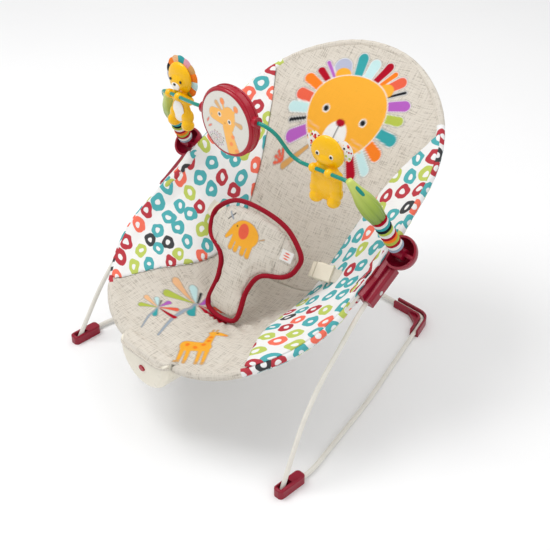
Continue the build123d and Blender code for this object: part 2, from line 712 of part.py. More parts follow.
# ---- toy bar ------------------------------------------------------------------------------------------------
def bar_point(x, along, ahead=0.0):
    """A point of the toy bar: along the arms from the pivot pin, and ahead of their plane."""
    y, z = ARM_DIR
    return cup_centre() + Vector(x - CUP_X, y * along - z * ahead, z * along + y * ahead)


def arm_point(along, aside=0.0):
    """A point of the right arm, which leans inward from the cup to the rod."""
    return bar_point(CUP_X + (ROD_HALF - CUP_X) * along / ARM_LENGTH - aside, along)


def rod_points():
    corners = [bar_point(x, ARM_LENGTH + rise, ahead) for x, rise, ahead in ROD_CORNERS]
    right = [arm_point(SPIGOT_LENGTH + 6), arm_point(ARM_LENGTH)]
    return [*right, *corners, *(mirrored(p) for p in reversed(right))]


def rod():
    path = FilletPolyline(*rod_points(), radius=[ROD_BEND_R, *ROD_RADII, ROD_BEND_R])
    return tube(path, ROD_R)


def pivot():
    """Knuckle that turns on the hub's pin, with the spigot that the arm plugs onto."""
    half = Vector(KNUCKLE_WIDTH / 2, 0, 0)
    centre = cup_centre()
    body = cylinder_between(centre - half, centre + half, KNUCKLE_R)
    body += cylinder_between(bar_point(CUP_X, 4), bar_point(CUP_X, SPIGOT_LENGTH), SPIGOT_R)
    return body - cylinder_between(centre - half * 2, centre + half * 2, PIN_R + PIVOT_PLAY)


def arm_sleeve():
    sleeve = cylinder_between(arm_point(ARM_START), arm_point(BUD_START), ARM_R)
    bore = cylinder_between(bar_point(CUP_X, 0), bar_point(CUP_X, SPIGOT_LENGTH + 1), SPIGOT_R + FIT)
    return sleeve - bore


def bud():
    """Pod shaped end fitting where the arm turns into the rod."""
    base = arm_point(BUD_START)
    axis = arm_point(BUD_START + 1, sin(radians(BUD_LEAN))) - base
    steps = [(r, BUD_LENGTH * i / (len(BUD_RADII) - 1)) for i, r in enumerate(BUD_RADII)]
    side = Spline(*steps)
    section = make_face(Polyline((0, BUD_LENGTH), (0, 0), steps[0]) + side + Line(steps[-1], (0, BUD_LENGTH)))
    pod = revolve(Plane.XZ * section, Axis.Z)
    pod = Plane(origin=base, z_dir=axis).location * pod
    below = Plane(origin=base, z_dir=arm_point(0) - arm_point(1))
    return pod - extrude(below * Rectangle(60, 60), 30)


def rod_stretch(first, share):
    """Middle and direction of one straight stretch of the rod, pointing to the right."""
    a, b = rod_points()[first], rod_points()[first + 1]
    return a + (b - a) * share, (a - b).normalized()


def toy_plane(centre, run):
    """Plumb toy frame: x along the rod as seen from above, z up."""
    return Plane(origin=centre, x_dir=(run.X, run.Y, 0), z_dir=(0, 0, 1))


def rod_bore(centre, run, length):
    """Running hole for the rod, in the row frame."""
    half = run * (length / 2)
    return cylinder_between(centre - half, centre + half, ROD_R + TOY_PLAY)


def spinner_line():
    """Where the rod carries the spinner, and the rod's direction there."""
    a, b = rod_points()[3], rod_points()[4]
    return a + (b - a) * ((a.X - DISC_X) / (a.X - b.X)), (a - b).normalized()


def across(radius, length):
    """Disc about the toy's front to back axis."""
    return Rot(90, 0, 0) * Cylinder(radius, length)


def spinner():
    """Round rattle that spins on the rod: hollow rim with bosses, and a face on each side."""
    centre, run = spinner_line()
    frame = Plane(origin=centre, x_dir=run, z_dir=run.cross(Vector(-run.Y, run.X, 0)).normalized())
    place = frame.location * Pos(0, 0, -DISC_DROP)
    rim = fillet(across(DISC_R, DISC_THICK).edges(), 3)
    boss = Pos(0, 0, DISC_DROP) * (Rot(0, 90, 0) * Cylinder(BOSS_R, 2 * (DISC_R + BOSS_LENGTH)))
    inner = across(FACE_R - 3, DISC_THICK - 2 * FACE_THICK)
    tunnel = Pos(0, 0, DISC_DROP) * (Rot(0, 90, 0) * Cylinder(ROD_R + 2.5, 2 * DISC_R - 6))
    recess = across(FACE_R, DISC_THICK + 2) - across(FACE_R, DISC_THICK - 2 * FACE_THICK)
    body = rim + (boss - across(DISC_R - 2, 40)) - inner + tunnel - recess
    keep("spinner_rim", place * body - rod_bore(centre, run, 3 * DISC_R))
    disc = Cylinder(FACE_R, FACE_THICK, align=(Align.CENTER, Align.CENTER, Align.MIN))
    half = DISC_THICK / 2 - FACE_THICK
    keep("spinner_front_face", place * (Pos(0, -half, 0) * Rot(90, 0, 0) * disc))
    keep("spinner_rear_face", place * (Pos(0, half, 0) * Rot(-90, 0, 0) * disc))


def toy_body(centre, run):
    """Flat figure behind the rod with two hands that wrap it."""
    head = Pos(0, TOY_SET_BACK, TOY_HEAD_RISE) * across(TOY_HEAD_R, TOY_THICK)
    width, height = TOY_BODY
    torso = Box(width, TOY_THICK, height, align=(Align.CENTER, Align.CENTER, Align.MAX))
    torso = Pos(0, TOY_SET_BACK, 6) * fillet(torso.edges().filter_by(Axis.Y), 12)
    feet = [Pos(x, TOY_SET_BACK, 8 - height) * across(10, TOY_THICK + 2) for x in (-14, 14)]
    reach = Box(2 * TOY_HAND_R, TOY_SET_BACK, 2 * TOY_HAND_R, align=(Align.CENTER, Align.MIN, Align.CENTER))
    body = head + torso + feet[0] + feet[1]
    rise = run.Z / hypot(run.X, run.Y)
    for x in (-TOY_HAND_X, TOY_HAND_X):
        body += Pos(x, 0, x * rise) * (Rot(0, 90, 0) * Cylinder(TOY_HAND_R, 2 * TOY_HAND_R) + reach)
    return toy_plane(centre, run).location * body - rod_bore(centre, run, 200)


def toys():
    behind = TOY_SET_BACK + TOY_THICK / 2
    lion = rod_stretch(4, 1 - LION_FROM_END / (ROD_HALF + ROD_CORNERS[-1][0]))
    keep("lion_toy_body", toy_body(*lion))
    mane = Rot(90, 0, 0) * Cylinder(MANE_R, 5, align=(Align.CENTER, Align.CENTER, Align.MAX))
    keep("lion_toy_mane", toy_plane(*lion).location * (Pos(0, behind, TOY_HEAD_RISE) * mane))
    cub = rod_stretch(1, CUB_AT)
    keep("cub_toy_body", toy_body(*cub))
    ear = Rot(90, 0, 0) * Cylinder(EAR_R, 4, align=(Align.CENTER, Align.CENTER, Align.MAX))
    ears = [Pos(x, behind, TOY_HEAD_RISE + 6) * ear for x in (-TOY_HEAD_R, TOY_HEAD_R)]
    keep("cub_toy_ears", toy_plane(*cub).location * Compound(ears))


def toy_bar():
    bar = rod()
    keep("toy_bar_rod", bar)
    both("bar_pivot", pivot)
    for name, piece in (("arm_sleeve", arm_sleeve()), ("bud", bud())):
        keep("right_" + name, piece - bar)
        keep("left_" + name, mirror(piece, Plane.YZ) - bar)
    spinner()
    toys()


# ---- everything -------------------------------------------------------------------------------------------------
floor_frame()
seat_frame()
fabric()
harness()
vibration_unit()
toy_bar()

os.makedirs("parts", exist_ok=True)
for name, shape in PARTS.items():
    export_step(shape, os.path.join("parts", name + ".step"))
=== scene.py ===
"""Looks of the baby bouncer seat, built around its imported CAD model.

Metres in Blender, millimetres in the shape formulas, +Z up, +Y towards the head end.
Depths are measured from the toe line, as in the part's own source.
"""

import json
from math import cos, hypot, pi, radians, sin, tan

import bmesh
import bpy
import numpy as np
from mathutils import Matrix, Vector


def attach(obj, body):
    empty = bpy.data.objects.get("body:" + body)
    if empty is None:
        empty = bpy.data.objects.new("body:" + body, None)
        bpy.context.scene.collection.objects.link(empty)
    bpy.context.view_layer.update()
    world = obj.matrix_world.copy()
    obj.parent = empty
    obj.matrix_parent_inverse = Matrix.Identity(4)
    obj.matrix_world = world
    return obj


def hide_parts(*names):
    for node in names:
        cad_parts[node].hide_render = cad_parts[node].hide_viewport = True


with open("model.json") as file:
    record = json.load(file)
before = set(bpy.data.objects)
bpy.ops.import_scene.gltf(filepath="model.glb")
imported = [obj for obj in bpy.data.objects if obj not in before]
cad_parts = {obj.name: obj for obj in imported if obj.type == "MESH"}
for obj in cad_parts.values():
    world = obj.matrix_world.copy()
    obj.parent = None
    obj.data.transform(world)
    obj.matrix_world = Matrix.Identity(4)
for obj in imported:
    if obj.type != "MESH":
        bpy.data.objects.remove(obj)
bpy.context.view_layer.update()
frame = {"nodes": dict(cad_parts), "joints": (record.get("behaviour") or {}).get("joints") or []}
MM = 0.001
JOINTS = {j["name"]: j for j in frame["joints"]}
TOE_Y = JOINTS["seat_bounce"]["pos_m"][1] / MM
SIDES = ((1, "right"), (-1, "left"))

# ---- shape of the frame and of the cloth, in millimetres -----------------------------------
HUB_DEPTH, HUB_HEIGHT, HOOP_HALF = 205.0, 246.0, 203.0
SEAT_LENGTH, BACK_LENGTH = 262, 316
SEAT_SLOPE, BACK_SLOPE = radians(25.9), radians(37.4)
SEAT_HALF = ((HOOP_HALF, 0), (HOOP_HALF, -133), (107, -SEAT_LENGTH), (0, -SEAT_LENGTH))
BACK_HALF = ((HOOP_HALF, 0), (184, 238), (48, BACK_LENGTH), (0, BACK_LENGTH))
BENDS, BACK_BENDS = (194, 154), (194, 172)
LINE_STEP = 2.0
SEAM_HALF, SEAM_DEPTH = 90.0, 200.0
SEAM_FRONT, SEAM_BACK = (18.0, 144.0), (386.0, 169.0)
SEAM_DROP, SEAM_LOW = 82.0, 210.0
SLING_DROP, SLING_LOW, SLING_BACK = 110.0, 180.0, 400.0
FRONT_DEPTH = HUB_DEPTH - SEAT_LENGTH * cos(SEAT_SLOPE)
CROWN_DEPTH = HUB_DEPTH + BACK_LENGTH * cos(BACK_SLOPE)
HEM_R, HEM_REACH = 6.4, 26.0
HUB_HEM_R = 11.6          # cloth over the hub's lug
HUB_REACH = 42.0          # how far along the hoops the lug is covered
HUB_FACE_X = 204.0        # inner face of the leg socket
HUB_SIDE_X = 150.0        # cloth beyond this half width goes over a lug
HUB_CLAMP = HUB_REACH + 22               # how far along the hem is kept off the leg socket
HEM_SIDES, HEM_CREASE = 20, 0.03
SEAM_MERGE = 6.0          # a seam ends where it comes this near to the hoop
PIPING_R = 1.9
RINGS_FROM, RINGS_TO = SEAM_FRONT[0] - 4, SEAM_BACK[0] + 6   # depths of the ring-printed hem
END_HALF = 100.0          # the hem's end between these is plain linen
CLOTH_THICK = 2.4
GATHER_DEPTH, GATHER_REACH = 108.0, 62.0                     # where the crotch strap is sewn
PLEATS_AT, PLEATS_REACH = (62.0, 120.0), (30.0, 46.0)
NOTCH_HALF, NOTCH_DEPTH = 52.0, FRONT_DEPTH + 8.5
FLAP_FRONT = FRONT_DEPTH - 19.0   # cloth over the vibration unit ends here
FLAP_RISE = 11.2          # over the hoop's middle line
FLAP_ROLL = 6.0           # rolls down over the unit's rounded edge
FLAP_CORNER = 13.0        # its front corners curve back by this
PAD_FOOT, PAD_TOP = (106.0, 128.0), (190.0, 272.0)
PAD_OUTLINE = ((28, 0), (30, 48), (42, 78), (78, 94), (90, 112), (88, 134), (52, 160), (0, 167))
PAD_SKIN = 6.5            # thickness before it is blown up
PAD_VOXEL, PAD_PUFF = 0.0042, 0.0042     # mesh size and the most that the skin moves, in metres
QUILT_X, QUILT_FROM = 60, 85             # two quilted lines on the pad's wings
STITCH_FROM, STITCH_TO, STITCH_R = 92, 150, 0.35
BINDING_R, BINDING_FLAT = 3.6, 1.25
TAG_AT, TAG_HALF, TAG_GRID = (74, 124), (9.5, 8.0), 28
CUP = (220.0, 238.0, 280.0)
ARM_LEAN, ARM_LENGTH, ROD_HALF = radians(118.6), 140.0, 193.0
SLEEVE, SLEEVE_R, SLEEVE_SIDES = (11.0, 72.0), 11.3, 40
BAND_STEPS, BAND_DEEP = 7, 1.3
BUD_LENGTH, BUD_LEAN, BUD_SIDES = 74.0, radians(10), 84
BUD_RADII = (11.5, 14.5, 13.0, 8.0, 4.6)
DISC_R, DISC_DROP, FACE_R, FACE_Y = 49.0, 8.0, 44.8, 8.6
FACE_DOME, FACE_RINGS, FACE_SIDES = 0.9, 60, 150
RIDGE_R, RIDGE_Y = 1.3, 5.2
TOY_BACK = 11.0           # toy bodies behind the rod
RUFF_BACK = 4.5           # mane and ears behind the middle of the heads
RUFF_INNER, RUFF_WIDE, RUFF_PUFF, RUFF_UP = 8, 23.6, 2.4, 24
WEDGE_SIDES = 12
EAR_R, EAR_PUFF, EAR_AT = 12.6, 2.3, (24, 30)
FIGURE_VOXEL = 0.0011     # in metres

# ---- room and camera, in metres --------------------------------------------------------------
FLOOR_HALF = 6.0
SKY_STRENGTH = 0.62
LIGHT_AIM = (0, 0, 0.2)
LIGHTS = (                # name, place, power, width
    ("key", (-0.9, -0.7, 2.3), 27, 1.3),
    ("fill", (1.9, -0.6, 1.4), 6, 1.4),
    ("top", (0.2, 0.9, 2.4), 12, 1.8),
)
LENS, SENSOR = 70.2, 36.0
CAMERA_AT = (0.9577, -0.7255, 1.0996)    # from the middle of the toe line
CAMERA_TILT, CAMERA_TURN = radians(54.5), radians(45.48)

# ---- colours, linear ------------------------------------------------------------------------
CREAM = (0.83, 0.78, 0.66)
CRIMSON = (0.27, 0.003, 0.022)
PRINT = {
    "yellow": (1.0, 0.47, 0.045), "orange": (1.0, 0.24, 0.02), "coral": (0.90, 0.14, 0.075),
    "crimson": (0.47, 0.004, 0.022), "purple": (0.50, 0.13, 0.58), "lavender": (0.50, 0.53, 0.70),
    "teal": (0.045, 0.40, 0.43), "pale": (0.60, 0.86, 0.88), "lime": (0.50, 0.60, 0.09),
    "black": (0.014, 0.016, 0.02), "white": (0.93, 0.92, 0.90), "tan": (0.74, 0.40, 0.13),
    "peach": (0.95, 0.56, 0.30), "slate": (0.36, 0.44, 0.55), "pink": (0.86, 0.42, 0.52),
}


# ---- materials --------------------------------------------------------------------------------
class Material:
    """A node material, written as short calls."""

    def __init__(self, name, shine=0.3, **sockets):
        self.data = bpy.data.materials.new(name)
        self.data.use_nodes = True
        self.tree = self.data.node_tree
        self.shader = self.tree.nodes["Principled BSDF"]
        self.shader.inputs["Specular IOR Level"].default_value = shine
        for socket, value in sockets.items():
            self.shader.inputs[socket.replace("_", " ")].default_value = value

    def node(self, kind, inputs=(), **settings):
        made = self.tree.nodes.new("ShaderNode" + kind)
        for key, value in settings.items():
            setattr(made, key, value)
        for key, value in dict(inputs).items():
            self.feed(made.inputs[key], value)
        return made

    def feed(self, socket, value):
        if isinstance(value, bpy.types.NodeSocket):
            self.tree.links.new(value, socket)
        else:
            socket.default_value = value

    def math(self, kind, a, b=0.0, c=0.0, clamp=False):
        return self.node("Math", {0: a, 1: b, 2: c}, operation=kind, use_clamp=clamp).outputs[0]

    def mix(self, share, a, b, blend="MIX"):
        made = self.node("Mix", data_type="RGBA", blend_type=blend)
        for key, value in ((0, share), (6, a), (7, b)):
            self.feed(made.inputs[key], value)
        return made.outputs[2]

    def ramp(self, value, stops, constant=False):
        made = self.node("ValToRGB", {"Fac": value})
        ramp = made.color_ramp
        ramp.interpolation = "CONSTANT" if constant else "LINEAR"
        while len(ramp.elements) < len(stops):
            ramp.elements.new(0.5)
        for element, (place, colour) in zip(ramp.elements, stops):
            element.position = place
            element.color = (*colour, 1)
        return made.outputs["Color"]

    def noise(self, at, scale, detail=3.0, stretch=(1, 1, 1)):
        moved = self.node("Mapping", {"Vector": at, "Scale": stretch}).outputs[0]
        inputs = {"Vector": moved, "Scale": scale, "Detail": detail}
        return self.node("TexNoise", inputs).outputs["Fac"]

    def relief(self, height, depth, strength):
        """Bump of the surface. depth in metres."""
        inputs = {"Height": height, "Distance": depth, "Strength": strength}
        self.feed(self.shader.inputs["Normal"], self.node("Bump", inputs).outputs[0])

    def paint(self, colour):
        self.feed(self.shader.inputs["Base Color"], colour)

    def dull(self, rough):
        self.feed(self.shader.inputs["Roughness"], rough)

    def place(self):
        return self.node("TexCoord").outputs["Object"]

    def attribute(self, name, output="Vector"):
        return self.node("Attribute", attribute_name=name).outputs[output]

    def cell_colour(self, cell, inks):
        """One ink for each cell. inks: (share of the cells where it starts, ink)."""
        pick = self.node("SeparateColor", {"Color": cell.outputs["Color"]}).outputs[0]
        return self.ramp(pick, [(start, PRINT[ink]) for start, ink in inks], constant=True)


def rgba(colour, share=1.0):
    """Opaque colour, darker or lighter by a share."""
    return (*(c * share for c in colour), 1)


def moulded(name, colour, rough=0.38, coat=0.0, grain=2600.0):
    """Moulded plastic: fine spark-eroded grain, faint flow marks, rubbed patches."""
    m = Material(name, Roughness=rough, Coat_Weight=coat, Coat_Roughness=0.12)
    at = m.place()
    m.paint(m.mix(m.noise(at, 38, 4), rgba(colour, 0.93), rgba(colour, 1.06)))
    m.dull(m.math("MULTIPLY_ADD", m.noise(at, 90, 5), 0.22, rough - 0.11))
    m.relief(m.noise(at, grain, 2), 0.00012, 0.35)
    return m.data


def powder_coat(name, colour, rough=0.4):
    """Coated wire: orange peel and slightly worn tone."""
    m = Material(name, Roughness=rough, Coat_Weight=0.25, Coat_Roughness=0.2)
    at = m.place()
    m.paint(m.mix(m.noise(at, 55, 5), rgba(colour, 0.9), rgba(colour, 1.05)))
    m.relief(m.noise(at, 1400, 2), 0.00015, 0.4)
    return m.data


def steel(name, tint):
    """Zinc-plated steel, drawn along one way."""
    m = Material(name, Metallic=1.0, Roughness=0.35)
    at = m.place()
    m.paint(m.mix(m.noise(at, 300, 4), rgba(tint, 0.8), rgba(tint, 1.1)))
    m.dull(m.math("MULTIPLY_ADD", m.noise(at, 900, 3, (1, 1, 12)), 0.3, 0.2))
    return m.data


def weave(m, at, pitch):
    """Height of a plain weave and the tone of its single threads."""
    split = m.node("SeparateXYZ", {"Vector": at})
    u, v = (m.math("SINE", m.math("MULTIPLY", split.outputs[k], 2 * pi / pitch)) for k in (0, 1))
    height = m.math("MULTIPLY", m.math("ABSOLUTE", u), m.math("ABSOLUTE", v))
    along, across = 0.85 / pitch, 45
    warp, weft = (m.noise(at, 1.0, 2, stretch) for stretch in ((along, across, 1), (across, along, 1)))
    tone = m.math("ADD", m.math("MULTIPLY", warp, 0.5), m.math("MULTIPLY", weft, 0.5))
    return height, tone


def linen(name, ink=False):
    """Slubby linen-look cloth, printed where the ink attribute says so."""
    m = Material(name, 0.12, Roughness=0.9)
    at = m.attribute("cloth")
    height, tone = weave(m, at, 0.0014)
    threads = ((0.34, (0.42, 0.375, 0.315)), (0.48, (0.76, 0.705, 0.62)), (0.70, (0.84, 0.79, 0.71)))
    colour = m.ramp(tone, threads)
    colour = m.mix(m.math("MULTIPLY", height, 0.13), colour, rgba((0.40, 0.36, 0.30)))
    colour = m.mix(m.math("MULTIPLY", m.noise(at, 14, 4), 0.25), colour, rgba((0.62, 0.57, 0.49)))
    if ink:
        shade = m.mix(0.14, m.attribute("ink", "Color"), colour, "MULTIPLY")
        colour = m.mix(m.attribute("ink", "Alpha"), colour, shade)
    m.paint(colour)
    m.relief(m.math("ADD", m.math("MULTIPLY", tone, 0.6), height), 0.0006, 0.55)
    return m.data


def ring_print(name):
    """White cotton with hand-drawn rings in five colours."""
    m = Material(name, 0.12, Roughness=0.85)
    at = m.attribute("cloth")
    drift = m.node("TexNoise", {"Vector": at, "Scale": 55.0, "Detail": 1.5}).outputs["Color"]
    offset = m.node("VectorMath", {0: drift, 1: (0.5, 0.5, 0.5)}, operation="SUBTRACT").outputs[0]
    offset = m.node("VectorMath", {0: offset, "Scale": 0.011}, operation="SCALE").outputs[0]
    bent = m.node("VectorMath", {0: at, 1: offset}, operation="ADD").outputs[0]
    inputs = {"Vector": bent, "Scale": 36.0, "Randomness": 0.34}
    cell = m.node("TexVoronoi", inputs, voronoi_dimensions="2D")
    gap = cell.outputs["Distance"]
    outer = m.math("MULTIPLY_ADD", m.math("SUBTRACT", 0.405, gap), 45, 0.5, clamp=True)
    inner = m.math("MULTIPLY_ADD", m.math("SUBTRACT", gap, 0.15), 45, 0.5, clamp=True)
    ring = m.math("MULTIPLY", outer, inner)
    colour = m.cell_colour(cell, ((0.0, "teal"), (0.26, "crimson"), (0.44, "lime"), (0.64, "coral"),
                                  (0.80, "black"), (0.90, "teal")))
    height, tone = weave(m, at, 0.0009)
    ground = m.mix(tone, rgba((0.80, 0.80, 0.80)), rgba((0.95, 0.95, 0.94)))
    painted = m.mix(m.math("MULTIPLY", ring, 0.96), ground, colour)
    m.paint(m.mix(m.math("MULTIPLY", height, 0.07), painted, rgba((0.4, 0.4, 0.4))))
    m.relief(height, 0.0003, 0.4)
    return m.data


def plain_cloth(name, colour, pitch=0.001, rough=0.85):
    """Woven tape or jersey in one colour, on object coordinates."""
    m = Material(name, 0.15, Roughness=rough, Sheen_Weight=0.05, Sheen_Roughness=0.4)
    at = m.place()
    height, tone = weave(m, at, pitch)
    m.paint(m.mix(tone, rgba(colour, 0.78), rgba(colour, 1.1)))
    m.relief(m.math("ADD", height, m.noise(at, 500, 3)), 0.0005, 0.5)
    return m.data


def printed_plastic(name):
    """Clear-coated label printed with the ink attribute on a pale speckled ground."""
    m = Material(name, Roughness=0.3, Coat_Weight=0.5, Coat_Roughness=0.08)
    at = m.place()
    ground = m.mix(m.noise(at, 900, 3), rgba((0.66, 0.64, 0.58)), rgba((0.84, 0.82, 0.76)))
    ink = m.mix(m.noise(at, 70, 3), m.attribute("ink", "Color"), rgba((1.0, 0.9, 0.7)))
    ink = m.mix(0.12, m.attribute("ink", "Color"), ink)
    m.paint(m.mix(m.attribute("ink", "Alpha"), ground, ink))
    m.relief(m.noise(at, 1500, 2), 0.00008, 0.3)
    return m.data


def bud_plastic(name):
    """Lime moulding, yellower and lighter towards its tip, with painted shade that darkens its grooves."""
    m = Material(name, Roughness=0.34, Coat_Weight=0.3, Coat_Roughness=0.15)
    split = m.node("SeparateXYZ", {"Vector": m.attribute("pod")})
    limes = ((0.0, (0.16, 0.26, 0.035)), (0.35, (0.33, 0.46, 0.06)), (1.0, (0.62, 0.70, 0.16)))
    along = m.ramp(split.outputs[0], limes)
    # painted shade: the deeper the groove, the darker the green
    groove_shade = m.math("MULTIPLY", split.outputs[1], 0.5)
    m.paint(m.mix(groove_shade, along, rgba((0.15, 0.25, 0.03))))
    m.relief(m.noise(m.place(), 800, 3), 0.0002, 0.3)
    return m.data


def floral(name):
    """Red and green dotted cotton of the cub's ears."""
    m = Material(name, Roughness=0.85, Sheen_Weight=0.2)
    at = m.place()
    cell = m.node("TexVoronoi", {"Vector": at, "Scale": 210.0})
    colour = m.cell_colour(cell, ((0, "crimson"), (0.35, "peach"), (0.55, "lime"), (0.72, "coral"),
                                  (0.88, "black")))
    dot = m.math("LESS_THAN", cell.outputs["Distance"], 0.42)
    m.paint(m.mix(dot, rgba(PRINT["white"], 0.9), colour))
    m.relief(m.noise(at, 1200, 2), 0.0003, 0.4)
    return m.data


MAT = {
    "wire": powder_coat("cream_powder_coat", (0.80, 0.77, 0.70)),
    "crimson": moulded("crimson_moulding", CRIMSON, 0.36, 0.15),
    "crimson_bright": moulded("crimson_gloss", (0.40, 0.003, 0.02), 0.22, 0.3),
    "grip": moulded("dark_rubber", (0.09, 0.012, 0.02), 0.75, 0.0, 900),
    "cream": moulded("cream_moulding", CREAM, 0.3, 0.2),
    "buckle": moulded("buckle_moulding", (0.78, 0.72, 0.58), 0.34, 0.1),
    "steel": steel("zinc_steel", (0.62, 0.62, 0.60)),
    "cell": moulded("cell_sleeve", (0.05, 0.05, 0.06), 0.3, 0.3),
    "board": moulded("board_green", (0.02, 0.16, 0.05), 0.4),
    "teal": powder_coat("teal_gloss", (0.0, 0.26, 0.20), 0.16),
    "yellow": moulded("yellow_moulding", (0.95, 0.52, 0.0), 0.28, 0.25),
    "white": moulded("white_moulding", (0.90, 0.88, 0.84), 0.3, 0.1),
    "black": moulded("black_paint", (0.01, 0.01, 0.012), 0.25, 0.3),
    "linen": linen("linen_seat", ink=True),
    "linen_hem": linen("linen_hem"),
    "rings": ring_print("ring_cotton"),
    "pad": linen("linen_pad", ink=True),
    "lining": plain_cloth("white_lining", (0.82, 0.80, 0.76)),
    "webbing": plain_cloth("cream_webbing", (0.74, 0.70, 0.60), 0.0016),
    "binding": plain_cloth("crimson_binding", (0.36, 0.004, 0.02), 0.0012, 0.7),
    "thread": plain_cloth("grey_thread", (0.45, 0.42, 0.38), 0.0007),
    "face": printed_plastic("printed_face"),
    "bud": bud_plastic("lime_bud"),
    "floral": floral("floral_cotton"),
}


# ---- mesh helpers -------------------------------------------------------------------------------
def row(points):
    """Points given by depth behind the toe line, in millimetres, to the row frame in metres."""
    moved = np.array(points, float).reshape(-1, 3)
    moved[:, 1] += TOE_Y
    return moved * MM


def linked(name, data):
    """A new object in the scene."""
    made = bpy.data.objects.new(name, data)
    bpy.context.scene.collection.objects.link(made)
    return made


def add_object(name, verts, faces, materials, attributes=(), picks=None):
    """A mesh from points in metres. attributes: name -> one row per point. picks: material per face."""
    mesh = bpy.data.meshes.new(name)
    mesh.from_pydata([tuple(v) for v in verts], [], [tuple(f) for f in faces])
    mesh.validate()
    for material in materials:
        mesh.materials.append(MAT[material])
    if picks is not None:
        mesh.polygons.foreach_set("material_index", picks)
    mesh.polygons.foreach_set("use_smooth", [True] * len(mesh.polygons))
    set_attributes(mesh, attributes)
    return linked(name, mesh)


def set_attributes(mesh, attributes):
    """Colours and flat cloth coordinates for the materials, one row per point."""
    for key, values in dict(attributes).items():
        values = np.asarray(values, np.float32)
        kind, slot = ("FLOAT_COLOR", "color") if values.shape[1] == 4 else ("FLOAT_VECTOR", "vector")
        layer = mesh.attributes.new(key, kind, "POINT")
        layer.data.foreach_set(slot, values.ravel())


def from_shape(name, shape):
    """An object from a bmesh, which is used up."""
    mesh = bpy.data.meshes.new(name)
    shape.to_mesh(mesh)
    shape.free()
    return linked(name, mesh)


def dress(obj, material):
    """One material on a smooth mesh."""
    obj.data.materials.clear()
    obj.data.materials.append(MAT[material])
    obj.data.polygons.foreach_set("use_smooth", [True] * len(obj.data.polygons))


def corners_of(obj):
    return np.array([v.co for v in obj.data.vertices])


def turns(sides):
    """Angles of an even ring of points."""
    return [2 * pi * k / sides for k in range(sides)]


def grid_faces(rows, columns, wrap=False):
    """Quads of a grid of points. wrap closes each row into a ring."""
    faces = []
    for start in range(0, (rows - 1) * columns, columns):
        above = start + columns
        for j in range(columns if wrap else columns - 1):
            k = (j + 1) % columns
            faces.append((start + j, start + k, above + k, above + j))
    return faces


def modifier(obj, kind, **settings):
    made = obj.modifiers.new(kind.lower(), kind)
    for key, value in settings.items():
        setattr(made, key, value)
    return made


def frozen(obj):
    """Apply every modifier, and return the object."""
    bpy.context.view_layer.update()
    graph = bpy.context.evaluated_depsgraph_get()
    mesh = bpy.data.meshes.new_from_object(obj.evaluated_get(graph), depsgraph=graph)
    obj.modifiers.clear()
    obj.data = mesh
    return obj


def tube(name, points, radius, material, sides=12, closed=False, flat=1.0, normal=None):
    """Round or flattened tube along points in metres. normal is the direction that flat squeezes."""
    path = [Vector(p) for p in points]
    rings, coords = [], []
    count = len(path)
    length = 0.0
    for i, point in enumerate(path):
        before = path[(i - 1) % count] if closed or i else point
        after = path[(i + 1) % count] if closed or i < count - 1 else point
        run = (after - before).normalized()
        up = Vector(normal) if normal is not None else Vector((0, 0, 1))
        side = run.cross(up).normalized()
        up = side.cross(run)
        length += (point - before).length if i else 0.0
        for turn in turns(sides):
            rings.append(point + side * (radius * cos(turn)) + up * (radius * flat * sin(turn)))
            coords.append((radius * turn, length, 0))
    faces = grid_faces(count, sides, wrap=True)
    if closed:
        last = (count - 1) * sides
        faces += [(last + k, last + (k + 1) % sides, (k + 1) % sides, k) for k in range(sides)]
    else:
        faces += [tuple(range(sides)), tuple(range((count - 1) * sides, count * sides))]
    return add_object(name, rings, faces, [material], {"cloth": coords})


def finish_piece(obj, body, slot, *nodes):
    """Give a piece its body and hide the CAD nodes it stands for; slot is not used."""
    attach(obj, body)
    if nodes:
        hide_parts(*nodes)
    return obj


# ---- printing on cloth ---------------------------------------------------------------------------
class Ink:
    """Colours laid over points of a flat design, one shape at a time."""

    def __init__(self, points, soft=1.6):
        self.points = np.asarray(points, float)
        self.colours = np.zeros((len(self.points), 4))
        self.soft = soft

    def lay(self, distance, colour):
        """Cover the points where the distance to a shape is below zero."""
        cover = np.clip(0.5 - distance / self.soft, 0, 1)[:, None]
        self.colours[:, :3] = self.colours[:, :3] * (1 - cover) + np.array(PRINT[colour]) * cover
        self.colours[:, 3:] = np.maximum(self.colours[:, 3:], cover)

    def oval(self, centre, radii, colour, turn=0.0):
        """Filled oval, turned by an angle in radians."""
        away = self.points - np.array(centre)
        c, s = cos(turn), sin(turn)
        x, y = away[:, 0] * c + away[:, 1] * s, away[:, 1] * c - away[:, 0] * s
        self.lay((np.hypot(x / radii[0], y / radii[1]) - 1) * min(radii), colour)

    def stroke(self, a, b, start, end, colour):
        """Rounded stroke whose half width goes from start to end."""
        a, b = np.array(a, float), np.array(b, float)
        run = b - a
        share = np.clip((self.points - a) @ run / (run @ run), 0, 1)
        away = np.linalg.norm(self.points - a - share[:, None] * run, axis=1)
        self.lay(away - (start + (end - start) * share), colour)

    def fan(self, centre, angles, inner, outer, start, end, colour):
        """Strokes that radiate from a centre. angles in degrees."""
        for angle in angles:
            way = np.array((cos(radians(angle)), sin(radians(angle))))
            self.stroke(centre + way * inner, centre + way * outer, start, end, colour)


